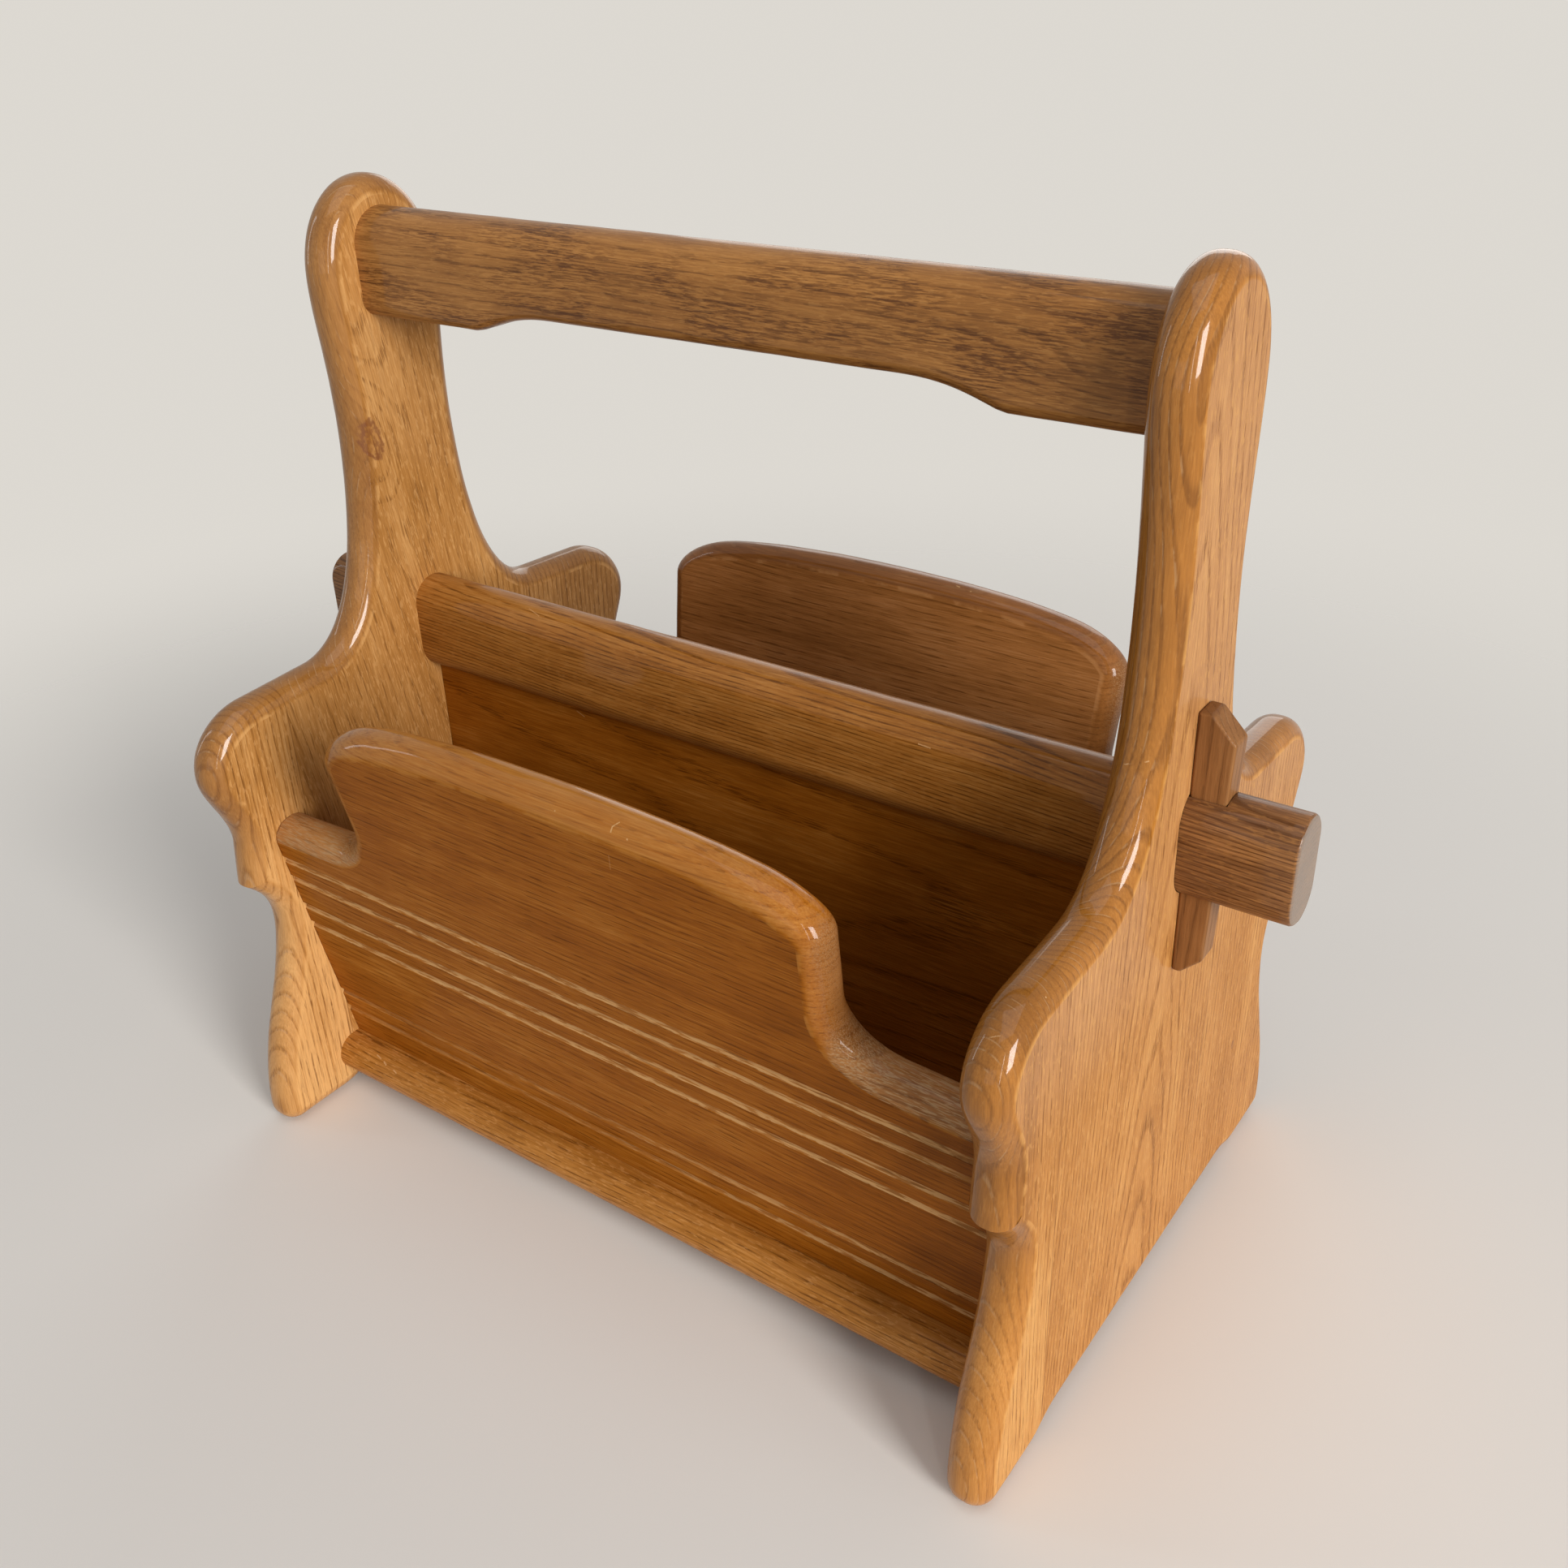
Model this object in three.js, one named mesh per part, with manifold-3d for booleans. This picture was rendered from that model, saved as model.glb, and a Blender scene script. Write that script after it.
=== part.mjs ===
// Oak magazine rack with a carrying handle and two loose wedge keys.
// Millimetres, +Z up. The origin is the middle of the footprint on the floor,
// +X runs along the rack and -Y is its front.
import * as THREE from 'three';
import { mergeVertices } from 'three/addons/utils/BufferGeometryUtils.js';
import Module from 'manifold-3d';

const wasm = await Module();
wasm.setup();

// Rack
const innerLength = 380;
const fitGap = 0.3;
const cutOverrun = 2;

// End panels: heights step down from the top and up from the floor, half depths count from the upright
// centre line, and insets count back from the half depth of the foot
const panelThickness = 20;
const panelEdgeFlat = 2;
const panelHeight = 442;
const headDrop = 42;
const headHalfDepth = 34;
const neckLength = 60;
const neckHalfDepth = 31;
const shoulderRise = 2.5;
const shoulderFlatDepth = 40;
const shoulderRoundDepth = 31;
const lobeUpperHeight = 29.5;
const lobeInset = 1;
const lobeLowerHeight = 38;
const lobeRootInset = 12.5;
const notchDropHeight = 22.5;
const notchTipInset = 10;
const legHollowHeight = 27;
const legWaistInset = 24.5;
const legWaistHeight = 112;
const ankleInset = 7;
const ankleHeight = 50;
const footHalfDepth = 144;
const footCornerEaseHeight = 1;
const footCornerEaseDepth = 0.5;
const soleLength = 26.5;
const archRunoutDepth = 26;
const archHeight = 5;

// Upright staves of an end panel, measured in from the feet
const frontStaveWidth = 46;
const backStaveWidth = 101;

// Carrying handle
const handleThickness = 32;
const handleDepth = 46;
const handleDrop = 13;
const handleLowerRadius = 7;
const fingerRecessDepth = 8.5;
const fingerRecessRunout = 46;
const leftRecessEndLength = 65;
const rightRecessEndLength = 57;

// Centre rail and its through tenons
const railThickness = 26;
const railDepth = 48;
const railTopHeight = 254;
const tenonThickness = 25;
const tenonDepth = 45;
const tenonTopShoulder = 0.5;
const tenonReach = 44;
const tenonChamfer = 1.5;

// Wedge keys
const keyThickness = 12;
const keyTopWidth = 16;
const keyTipWidth = 11.5;
const keyRiseAboveRail = 32;
const keyDropBelowRail = 32;
const keyTopChamfer = 10;
const keyTipChamfer = 8;
const keyEdgeEase = 1;
const keySlotRelief = 3;

// Bottom board
const floorThickness = 20;
const floorInset = 36;
const floorClearance = 12;

// Slanted trough boards: heights step up along the board's own slope, and lengths step in from its ends
const troughLeanDegrees = 10.7;
const troughThickness = 20;
const troughEdgeFlat = 2;
const noseReveal = 14;
const lowShoulderEndHeight = 136.5;
const lowShoulderRise = 2;
const lowShoulderLength = 41;
const hollowLength = 21.5;
const hollowRise = 21.5;
const earOverhang = 2;
const earRise = 34;
const archCornerLength = 29.5;
const archCornerRise = 20.5;
const crownRise = 6.5;
const backArchExtra = 3.5;

// Grooves routed in pairs along the outer faces of the trough boards
const groovePairHeights = [112, 82, 22.5];
const grooveSpacing = 12;
const grooveWidth = 4.5;
const grooveDepth = 2;

// Divider and its housings
const dividerThickness = 6;
const panelHousing = 5;
const railHousing = 8;
const floorHousing = 4;

// Dowels
const dowelDiameter = 8;
const dowelLength = 36;
const dowelInPanel = 12;
const dowelChamfer = 1;
const handleDowelSpacing = 22;
const troughDowelHeights = [28, 112];
const floorDowelInset = 48;

// Facets
const roundSteps = 4;
const barCornerSteps = 5;
const dowelSides = 12;
const recessSteps = 8;
const recessEasePower = 2.5;
const leastCurveSteps = 3;
const curveSamples = 24;
const turnPerCurveStep = THREE.MathUtils.degToRad(12);

// Bezier handles, each as the shares of the segment's run in depth and in height
const crownShares = [[0.55, 0], [1, 0.45]];
const neckTopShares = [[0, 0.33], [1, 0.63]];
const neckFlareShares = [[0, 0.44], [0.22, 0.96]];
const lobeTopShares = [[0.52, 0.02], [1, 0.46]];
const lobeUnderShares = [[0, 0.32], [1, 0.63]];
const legHollowShares = [[0.6, 0.3], [1, 0.55]];
const legShares = [[0, 0.29], [0.6, 0.68]];
const ankleShares = [[0.5, 0.3], [1, 0.68]];
const footCornerShares = [[0, 0.55], [0.45, 1]];
const archRunoutShares = [[0.5, 0], [0.5, 1]];
const boardCrownShares = [[0.5, 0], [0.84, 0.5]];
const boardEarShares = [[0.52, 0.14], [1, 0.55]];
const boardHollowShares = [[0, 0.55], [0.45, 0.96]];

// Places that follow from the sizes
const panelInnerX = innerLength / 2;
const panelOuterX = panelInnerX + panelThickness;
const panelEdgeRadius = (panelThickness - panelEdgeFlat) / 2;
const headHeight = panelHeight - headDrop;
const neckHeight = headHeight - neckLength;
const notchTipHeight = legWaistHeight + legHollowHeight;
const lobeRootHeight = notchTipHeight + notchDropHeight;
const lobeHeight = lobeRootHeight + lobeLowerHeight;
const shoulderHeight = lobeHeight + lobeUpperHeight;
const lobeHalfDepth = footHalfDepth - lobeInset;
const shoulderHalfDepth = lobeHalfDepth - shoulderRoundDepth;
const notchTipHalfDepth = footHalfDepth - notchTipInset;
const footCornerHeight = panelEdgeRadius + footCornerEaseHeight;
const footCornerDepth = panelEdgeRadius + footCornerEaseDepth;
const frontSeamY = frontStaveWidth - footHalfDepth;
const backSeamY = footHalfDepth - backStaveWidth;
const soleEndHalfDepth = footHalfDepth - footCornerDepth - soleLength;
const handleTopHeight = panelHeight - handleDrop;
const handleBottomHeight = handleTopHeight - handleDepth;
const railBottomHeight = railTopHeight - railDepth;
const tenonTopHeight = railTopHeight - tenonTopShoulder;
const tenonBottomHeight = tenonTopHeight - tenonDepth;
const tenonEndX = panelOuterX + tenonReach;
const keyTopHeight = railTopHeight + keyRiseAboveRail;
const keyTipHeight = railBottomHeight - keyDropBelowRail;
const leftRecessEndX = leftRecessEndLength - panelInnerX;
const rightRecessEndX = panelInnerX - rightRecessEndLength;
const floorHalfDepth = footHalfDepth - floorInset;
const floorTopHeight = floorClearance + floorThickness;
const troughLean = THREE.MathUtils.degToRad(troughLeanDegrees);
const troughEdgeRadius = (troughThickness - troughEdgeFlat) / 2;
const troughFootY = -(floorHalfDepth - noseReveal);
const lowShoulderHeight = lowShoulderEndHeight + lowShoulderRise;
const lowShoulderHalfLength = panelInnerX - lowShoulderLength;
const archSideHalfLength = lowShoulderHalfLength - hollowLength;
const archSideHeight = lowShoulderHeight + hollowRise;
const archEarHalfLength = archSideHalfLength + earOverhang;
const archEarHeight = archSideHeight + earRise;
const archTopHeight = archEarHeight + archCornerRise;

// Colours of the oak, lightest on the end panels
const panelColour = 0xb57a3c;
const boardColour = 0x94602b;
const railColour = 0x8c5827;
const keyColour = 0x8a5730;
const dowelColour = 0xc79a5e;

function oak(colour) {
  return new THREE.MeshStandardMaterial({ color: colour, roughness: 0.42, metalness: 0 });
}

// Solids and geometries

function toSolid(geometry) {
  const bare = geometry.clone();
  bare.deleteAttribute('normal');
  bare.deleteAttribute('uv');
  const merged = mergeVertices(bare);
  const vertProperties = new Float32Array(merged.attributes.position.array);
  const triVerts = new Uint32Array(merged.index.array);
  return new wasm.Manifold(new wasm.Mesh({ numProp: 3, vertProperties, triVerts }));
}

function toGeometry(solid) {
  const mesh = solid.getMesh();
  const geometry = new THREE.BufferGeometry();
  geometry.setAttribute('position', new THREE.BufferAttribute(mesh.vertProperties, mesh.numProp));
  geometry.setIndex(new THREE.BufferAttribute(mesh.triVerts, 1));
  geometry.computeVertexNormals();
  return geometry;
}

function cut(geometry, cutters) {
  return toGeometry(cutters.reduce((solid, cutter) => solid.subtract(toSolid(cutter)), toSolid(geometry)));
}

function keep(geometry, region) {
  return toGeometry(toSolid(geometry).intersect(toSolid(region)));
}

function boxBetween(low, high) {
  const size = new THREE.Vector3().subVectors(high, low);
  const middle = new THREE.Vector3().addVectors(low, high).multiplyScalar(0.5);
  return new THREE.BoxGeometry(size.x, size.y, size.z).translate(middle.x, middle.y, middle.z);
}

function geometryFrom(points, triangles) {
  const geometry = new THREE.BufferGeometry().setFromPoints(points);
  geometry.setIndex(triangles.flat());
  geometry.computeVertexNormals();
  return geometry;
}

// Joins rings of equal count into one closed body, capped at both ends.
// Each ring runs anticlockwise as seen from the side that the rings advance to.
function skin(rings, capTriangles) {
  const count = rings[0].length;
  const last = (rings.length - 1) * count;
  const triangles = [];
  for (let r = 0; r < rings.length - 1; r += 1) {
    for (let i = 0; i < count; i += 1) {
      const j = (i + 1) % count;
      const [a, b, c, d] = [r * count + i, r * count + j, (r + 1) * count + j, (r + 1) * count + i];
      triangles.push([a, b, c], [a, c, d]);
    }
  }
  for (const [a, b, c] of capTriangles) {
    triangles.push([c, b, a], [last + a, last + b, last + c]);
  }
  return geometryFrom(rings.flat(), triangles);
}

// Outlines

// One Bezier from where the path stands to an end point, with handles given as shares of the run
function curveTo(path, x, y, shares) {
  const start = path.currentPoint.clone();
  const run = new THREE.Vector2(x, y).sub(start);
  const [leave, arrive] = shares.map(([across, up]) => [start.x + across * run.x, start.y + up * run.y]);
  path.bezierCurveTo(leave[0], leave[1], arrive[0], arrive[1], x, y);
}

// Points of a path, with the steps of each curved piece set by how far it turns and one step per line
function pathPoints(path) {
  const points = [path.getPoint(0)];
  for (const piece of path.curves) {
    const steps = piece.isLineCurve ? 1 : curveSteps(piece);
    for (let i = 1; i <= steps; i += 1) {
      points.push(piece.getPoint(i / steps));
    }
  }
  return points;
}

function curveSteps(piece) {
  let turn = 0;
  for (let i = 0; i < curveSamples; i += 1) {
    turn += piece.getTangent(i / curveSamples).angleTo(piece.getTangent((i + 1) / curveSamples));
  }
  return Math.max(leastCurveSteps, Math.ceil(turn / turnPerCurveStep));
}

// A half outline and its mirror image about the first coordinate, as one anticlockwise outline.
// The half starts and ends on the mirror line, on the right-hand side, and runs from top to bottom.
function mirrored(half) {
  const left = half.slice(1, -1).map((p) => new THREE.Vector2(-p.x, p.y));
  return [...half].reverse().concat(left);
}

// Vectors that carry each outline point inward by one unit of inset.
// Edges that aren't rounded stay where they are, so their points slide along them.
function insetVectors(outline, isRounded) {
  const count = outline.length;
  const normals = outline.map((p, i) => {
    const along = outline[(i + 1) % count].clone().sub(p).normalize();
    return new THREE.Vector2(-along.y, along.x);
  });
  return outline.map((p, i) => {
    const before = (i + count - 1) % count;
    const [n, m] = [normals[before], normals[i]];
    const [nInset, mInset] = [isRounded(before) ? 1 : 0, isRounded(i) ? 1 : 0];
    if (nInset === mInset) {
      return n.clone().add(m).multiplyScalar(nInset / (1 + n.dot(m)));
    }
    const det = n.cross(m);
    return new THREE.Vector2(nInset * m.y - mInset * n.y, mInset * n.x - nInset * m.x).divideScalar(det);
  });
}

// A board with its outline in X and Y, its thickness along Z and its edges rounded over on both faces
function roundedBoard(outline, thickness, edgeRadius, isRounded = () => true) {
  const inward = insetVectors(outline, isRounded);
  const ring = (inset, z) => outline.map((p, i) => {
    const moved = p.clone().addScaledVector(inward[i], inset);
    return new THREE.Vector3(moved.x, moved.y, z);
  });
  const rings = [];
  for (let i = 0; i <= roundSteps; i += 1) {
    const angle = (i / roundSteps) * Math.PI / 2;
    const depth = thickness / 2 - edgeRadius * (1 - Math.cos(angle));
    const inset = edgeRadius * (1 - Math.sin(angle));
    rings.splice(i, 0, ring(inset, -depth));
    rings.splice(rings.length - i, 0, ring(inset, depth));
  }
  const cap = rings[0].map((p) => new THREE.Vector2(p.x, p.y));
  return skin(rings, THREE.ShapeUtils.triangulateShape(cap, []));
}

// Section of a bar lying along X, as Y and Z points, with its own corner radius above and below
function barSection(halfThickness, bottom, top, lowerRadius, upperRadius) {
  const corners = [
    { y: halfThickness - lowerRadius, z: bottom + lowerRadius, radius: lowerRadius, start: -Math.PI / 2 },
    { y: halfThickness - upperRadius, z: top - upperRadius, radius: upperRadius, start: 0 },
    { y: upperRadius - halfThickness, z: top - upperRadius, radius: upperRadius, start: Math.PI / 2 },
    { y: lowerRadius - halfThickness, z: bottom + lowerRadius, radius: lowerRadius, start: Math.PI },
  ];
  const points = [];
  for (const { y, z, radius, start } of corners) {
    for (let i = 0; i <= barCornerSteps; i += 1) {
      const angle = start + (i / barCornerSteps) * Math.PI / 2;
      points.push(new THREE.Vector2(y + radius * Math.cos(angle), z + radius * Math.sin(angle)));
    }
  }
  const nearZero = halfThickness * Number.EPSILON * points.length;
  return points.filter((p, i) => p.distanceTo(points.at(i - 1)) > nearZero);
}

// A bar through sections placed along X
function loftAlongX(stations) {
  const rings = stations.map(({ x, section }) => section.map((p) => new THREE.Vector3(x, p.x, p.y)));
  return skin(rings, THREE.ShapeUtils.triangulateShape(stations[0].section, []));
}

// A plate at one end of the rack, its outline in X and Z and its thickness across Y, with eased edges
function plateAcross(side, outline, thickness, ease) {
  const depth = thickness - 2 * ease;
  const plate = new THREE.ExtrudeGeometry(new THREE.Shape(outline), {
    depth,
    bevelEnabled: ease > 0,
    bevelThickness: ease,
    bevelSize: ease,
    bevelOffset: -ease,
    bevelSegments: 1,
  });
  plate.rotateX(Math.PI / 2).translate(0, depth / 2, 0);
  return side > 0 ? plate : plate.rotateZ(Math.PI);
}

// End panels

function panelOutline() {
  const path = new THREE.Path();
  path.moveTo(0, panelHeight);
  curveTo(path, headHalfDepth, headHeight, crownShares);
  curveTo(path, neckHalfDepth, neckHeight, neckTopShares);
  curveTo(path, shoulderHalfDepth - shoulderFlatDepth, shoulderHeight + shoulderRise, neckFlareShares);
  path.lineTo(shoulderHalfDepth, shoulderHeight);
  curveTo(path, lobeHalfDepth, lobeHeight, lobeTopShares);
  curveTo(path, footHalfDepth - lobeRootInset, lobeRootHeight, lobeUnderShares);
  path.lineTo(notchTipHalfDepth, notchTipHeight);
  curveTo(path, footHalfDepth - legWaistInset, legWaistHeight, legHollowShares);
  curveTo(path, footHalfDepth - ankleInset, ankleHeight, legShares);
  curveTo(path, footHalfDepth, footCornerHeight, ankleShares);
  curveTo(path, footHalfDepth - footCornerDepth, 0, footCornerShares);
  path.lineTo(soleEndHalfDepth, 0);
  curveTo(path, soleEndHalfDepth - archRunoutDepth, archHeight, archRunoutShares);
  path.lineTo(0, archHeight);
  return mirrored(pathPoints(path));
}

function panelBlank(side) {
  const blank = roundedBoard(panelOutline(), panelThickness, panelEdgeRadius);
  const upright = new THREE.Matrix4().makeBasis(
    new THREE.Vector3(0, 1, 0),
    new THREE.Vector3(0, 0, 1),
    new THREE.Vector3(1, 0, 0),
  );
  blank.applyMatrix4(upright);
  return blank.translate(side * (panelInnerX + panelThickness / 2), 0, 0);
}

function railMortise(side) {
  const section = tenonSection(-fitGap);
  const middle = side * (panelInnerX + panelThickness / 2);
  const reach = panelThickness / 2 + cutOverrun;
  return loftAlongX([{ x: middle - reach, section }, { x: middle + reach, section }]);
}

function dividerHousing(side) {
  const halfWidth = dividerThickness / 2 + fitGap;
  const inner = side * (panelInnerX - cutOverrun);
  const outer = side * (panelInnerX + panelHousing + fitGap);
  return boxBetween(
    new THREE.Vector3(Math.min(inner, outer), -halfWidth, floorTopHeight - floorHousing - fitGap),
    new THREE.Vector3(Math.max(inner, outer), halfWidth, railBottomHeight + railHousing + fitGap),
  );
}

function stave(panel, fromY, toY) {
  const low = new THREE.Vector3(-tenonEndX, fromY, -cutOverrun);
  const high = new THREE.Vector3(tenonEndX, toY, panelHeight + cutOverrun);
  return keep(panel, boxBetween(low, high));
}

function endPanel(side, name) {
  const holes = dowelPlaces().filter((place) => place.side === side).map(dowelHole);
  const panel = cut(panelBlank(side), [railMortise(side), dividerHousing(side), ...holes]);
  const reach = footHalfDepth + lobeHalfDepth;
  return [
    namedMesh(`${name}_front_stave`, stave(panel, -reach, frontSeamY), panelColour),
    namedMesh(`${name}_middle_stave`, stave(panel, frontSeamY, backSeamY), panelColour),
    namedMesh(`${name}_back_stave`, stave(panel, backSeamY, reach), panelColour),
  ];
}

// Carrying handle

function handleSection(recess) {
  return barSection(
    handleThickness / 2,
    handleBottomHeight + recess,
    handleTopHeight,
    handleLowerRadius,
    handleThickness / 2,
  );
}

// The recess starts steeply at each end and eases into its full depth
function recessStation(endX, share) {
  const x = endX - Math.sign(endX) * share * fingerRecessRunout;
  return { x, section: handleSection(fingerRecessDepth * (1 - (1 - share) ** recessEasePower)) };
}

function handleBar() {
  const stations = [{ x: -panelInnerX, section: handleSection(0) }];
  for (let i = 0; i <= recessSteps; i += 1) {
    stations.push(recessStation(leftRecessEndX, i / recessSteps));
  }
  for (let i = recessSteps; i >= 0; i -= 1) {
    stations.push(recessStation(rightRecessEndX, i / recessSteps));
  }
  stations.push({ x: panelInnerX, section: handleSection(0) });
  return namedMesh('handle_bar', cut(loftAlongX(stations), dowelHolesIn('handle')), railColour);
}

// Centre rail with its tenons, wedge slots and divider groove

function railSection() {
  const radius = railThickness / 2;
  return barSection(radius, railBottomHeight, railTopHeight, radius, radius);
}

function tenonSection(inset) {
  const radius = tenonThickness / 2 - inset;
  return barSection(radius, tenonBottomHeight + inset, tenonTopHeight - inset, radius, radius);
}

// Outline of a key, or of the slot for it, in X and Z: upright against the panel, sloping outside
function wedgeWidth(height) {
  const share = (height - keyTipHeight) / (keyTopHeight - keyTipHeight);
  return THREE.MathUtils.lerp(keyTipWidth, keyTopWidth, share);
}

function keySlot(side) {
  const inner = panelOuterX - keySlotRelief;
  const low = tenonBottomHeight - cutOverrun;
  const high = tenonTopHeight + cutOverrun;
  const outline = [
    new THREE.Vector2(inner, low),
    new THREE.Vector2(panelOuterX + wedgeWidth(low) + fitGap, low),
    new THREE.Vector2(panelOuterX + wedgeWidth(high) + fitGap, high),
    new THREE.Vector2(inner, high),
  ];
  return plateAcross(side, outline, keyThickness + 2 * fitGap, 0);
}

function centreRail() {
  const bar = loftAlongX([
    { x: -tenonEndX, section: tenonSection(tenonChamfer) },
    { x: -tenonEndX + tenonChamfer, section: tenonSection(0) },
    { x: -panelInnerX, section: tenonSection(0) },
    { x: -panelInnerX, section: railSection() },
    { x: panelInnerX, section: railSection() },
    { x: panelInnerX, section: tenonSection(0) },
    { x: tenonEndX - tenonChamfer, section: tenonSection(0) },
    { x: tenonEndX, section: tenonSection(tenonChamfer) },
  ]);
  const grooveReach = panelInnerX + panelHousing + fitGap;
  const groove = boxBetween(
    new THREE.Vector3(-grooveReach, -dividerThickness / 2 - fitGap, railBottomHeight - cutOverrun),
    new THREE.Vector3(grooveReach, dividerThickness / 2 + fitGap, railBottomHeight + railHousing + fitGap),
  );
  return namedMesh('centre_rail', cut(bar, [keySlot(-1), keySlot(1), groove]), railColour);
}

// Wedge keys

function wedgeKey(side, name) {
  const chamferLow = keyTipHeight + keyTipChamfer;
  const chamferHigh = keyTopHeight - keyTopChamfer;
  const outline = [
    new THREE.Vector2(panelOuterX, keyTipHeight),
    new THREE.Vector2(panelOuterX + keyTipWidth - keyTipChamfer, keyTipHeight),
    new THREE.Vector2(panelOuterX + wedgeWidth(chamferLow), chamferLow),
    new THREE.Vector2(panelOuterX + wedgeWidth(chamferHigh), chamferHigh),
    new THREE.Vector2(panelOuterX + keyTopWidth - keyTopChamfer, keyTopHeight),
    new THREE.Vector2(panelOuterX, keyTopHeight),
  ];
  return namedMesh(name, plateAcross(side, outline, keyThickness, keyEdgeEase), keyColour);
}

// Slanted trough boards

// Arch over a lower shoulder at each end, with the arch raised by an extra height
function troughOutline(archExtra) {
  const skirt = troughThickness * Math.tan(troughLean) + cutOverrun;
  const earHeight = archEarHeight + archExtra;
  const topHeight = archTopHeight + archExtra;
  const path = new THREE.Path();
  path.moveTo(0, topHeight + crownRise);
  curveTo(path, archEarHalfLength - archCornerLength, topHeight, boardCrownShares);
  curveTo(path, archEarHalfLength, earHeight, boardEarShares);
  path.lineTo(archSideHalfLength, archSideHeight);
  curveTo(path, lowShoulderHalfLength, lowShoulderHeight, boardHollowShares);
  path.lineTo(panelInnerX, lowShoulderEndHeight);
  path.lineTo(panelInnerX, -skirt);
  path.lineTo(0, -skirt);
  return mirrored(pathPoints(path));
}

function troughBlank(archExtra) {
  const outline = troughOutline(archExtra);
  const isUpperEdge = (i) => {
    const middle = outline[i].clone().add(outline[(i + 1) % outline.length]).divideScalar(2);
    return middle.y > 0 && Math.abs(middle.x) < panelInnerX;
  };
  return roundedBoard(outline, troughThickness, troughEdgeRadius, isUpperEdge);
}

// Turns a body from the board's own frame, its outer face at Z = thickness / 2, to its lean at the front
function leanForward(geometry) {
  const up = new THREE.Vector3(0, -Math.sin(troughLean), Math.cos(troughLean));
  const outward = new THREE.Vector3(0, -Math.cos(troughLean), -Math.sin(troughLean));
  const foot = new THREE.Vector3(0, troughFootY, floorTopHeight);
  const origin = foot.addScaledVector(outward, -troughThickness / 2);
  const frame = new THREE.Matrix4().makeBasis(new THREE.Vector3(1, 0, 0), up, outward);
  return geometry.applyMatrix4(frame.setPosition(origin));
}

function grooveCutter(height) {
  const face = troughThickness / 2;
  const mouth = grooveWidth / 2 * (grooveDepth + cutOverrun) / grooveDepth;
  const outline = new THREE.Shape([
    new THREE.Vector2(face - grooveDepth, height),
    new THREE.Vector2(face + cutOverrun, height - mouth),
    new THREE.Vector2(face + cutOverrun, height + mouth),
  ]);
  const length = innerLength + 2 * cutOverrun;
  const cutter = new THREE.ExtrudeGeometry(outline, { depth: length, bevelEnabled: false });
  return cutter.rotateY(-Math.PI / 2).translate(length / 2, 0, 0);
}

function grooveCutters() {
  return groovePairHeights.flatMap((middle) => [
    grooveCutter(middle - grooveSpacing / 2),
    grooveCutter(middle + grooveSpacing / 2),
  ]);
}

function troughBoard(name, archExtra) {
  const board = leanForward(cut(troughBlank(archExtra), grooveCutters()));
  const aboveFloor = boxBetween(
    new THREE.Vector3(-innerLength, -panelHeight, floorTopHeight),
    new THREE.Vector3(innerLength, panelHeight, panelHeight),
  );
  return namedMesh(name, cut(keep(board, aboveFloor), dowelHolesIn('front')), boardColour);
}

// Bottom board with round noses

function bottomBoard() {
  const nose = floorThickness / 2;
  const section = barSection(floorHalfDepth, floorClearance, floorTopHeight, nose, nose);
  const board = loftAlongX([{ x: -panelInnerX, section }, { x: panelInnerX, section }]);
  const halfWidth = dividerThickness / 2 + fitGap;
  const groove = boxBetween(
    new THREE.Vector3(-innerLength, -halfWidth, floorTopHeight - floorHousing - fitGap),
    new THREE.Vector3(innerLength, halfWidth, floorTopHeight + cutOverrun),
  );
  return namedMesh('bottom_board', cut(board, [groove, ...dowelHolesIn('floor')]), boardColour);
}

// Divider

function dividerPanel() {
  const reach = panelInnerX + panelHousing;
  const panel = boxBetween(
    new THREE.Vector3(-reach, -dividerThickness / 2, floorTopHeight - floorHousing),
    new THREE.Vector3(reach, dividerThickness / 2, railBottomHeight + railHousing),
  );
  return namedMesh('divider_panel', panel, boardColour);
}

// Dowels: each crosses the joint between an end panel and the piece that butts against it

function dowelPlaces() {
  const handleMiddle = (handleBottomHeight + handleTopHeight) / 2;
  const slope = new THREE.Vector2(-Math.sin(troughLean), Math.cos(troughLean));
  const halfIn = new THREE.Vector2(Math.cos(troughLean), Math.sin(troughLean));
  const rows = [];
  for (const [i, offset] of [-handleDowelSpacing / 2, handleDowelSpacing / 2].entries()) {
    rows.push({ piece: 'handle', number: i + 1, y: 0, z: handleMiddle + offset });
  }
  for (const [i, height] of troughDowelHeights.entries()) {
    const place = new THREE.Vector2(troughFootY, floorTopHeight);
    place.addScaledVector(slope, height).addScaledVector(halfIn, troughThickness / 2);
    rows.push({ piece: 'front', number: i + 1, y: place.x, z: place.y });
    rows.push({ piece: 'back', number: i + 1, y: -place.x, z: place.y });
  }
  const floorDowelHalfSpacing = floorHalfDepth - floorDowelInset;
  for (const [i, y] of [-floorDowelHalfSpacing, floorDowelHalfSpacing].entries()) {
    rows.push({ piece: 'floor', number: i + 1, y, z: floorTopHeight - floorThickness / 2 });
  }
  return rows.flatMap((row) => [{ ...row, side: -1 }, { ...row, side: 1 }]);
}

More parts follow.
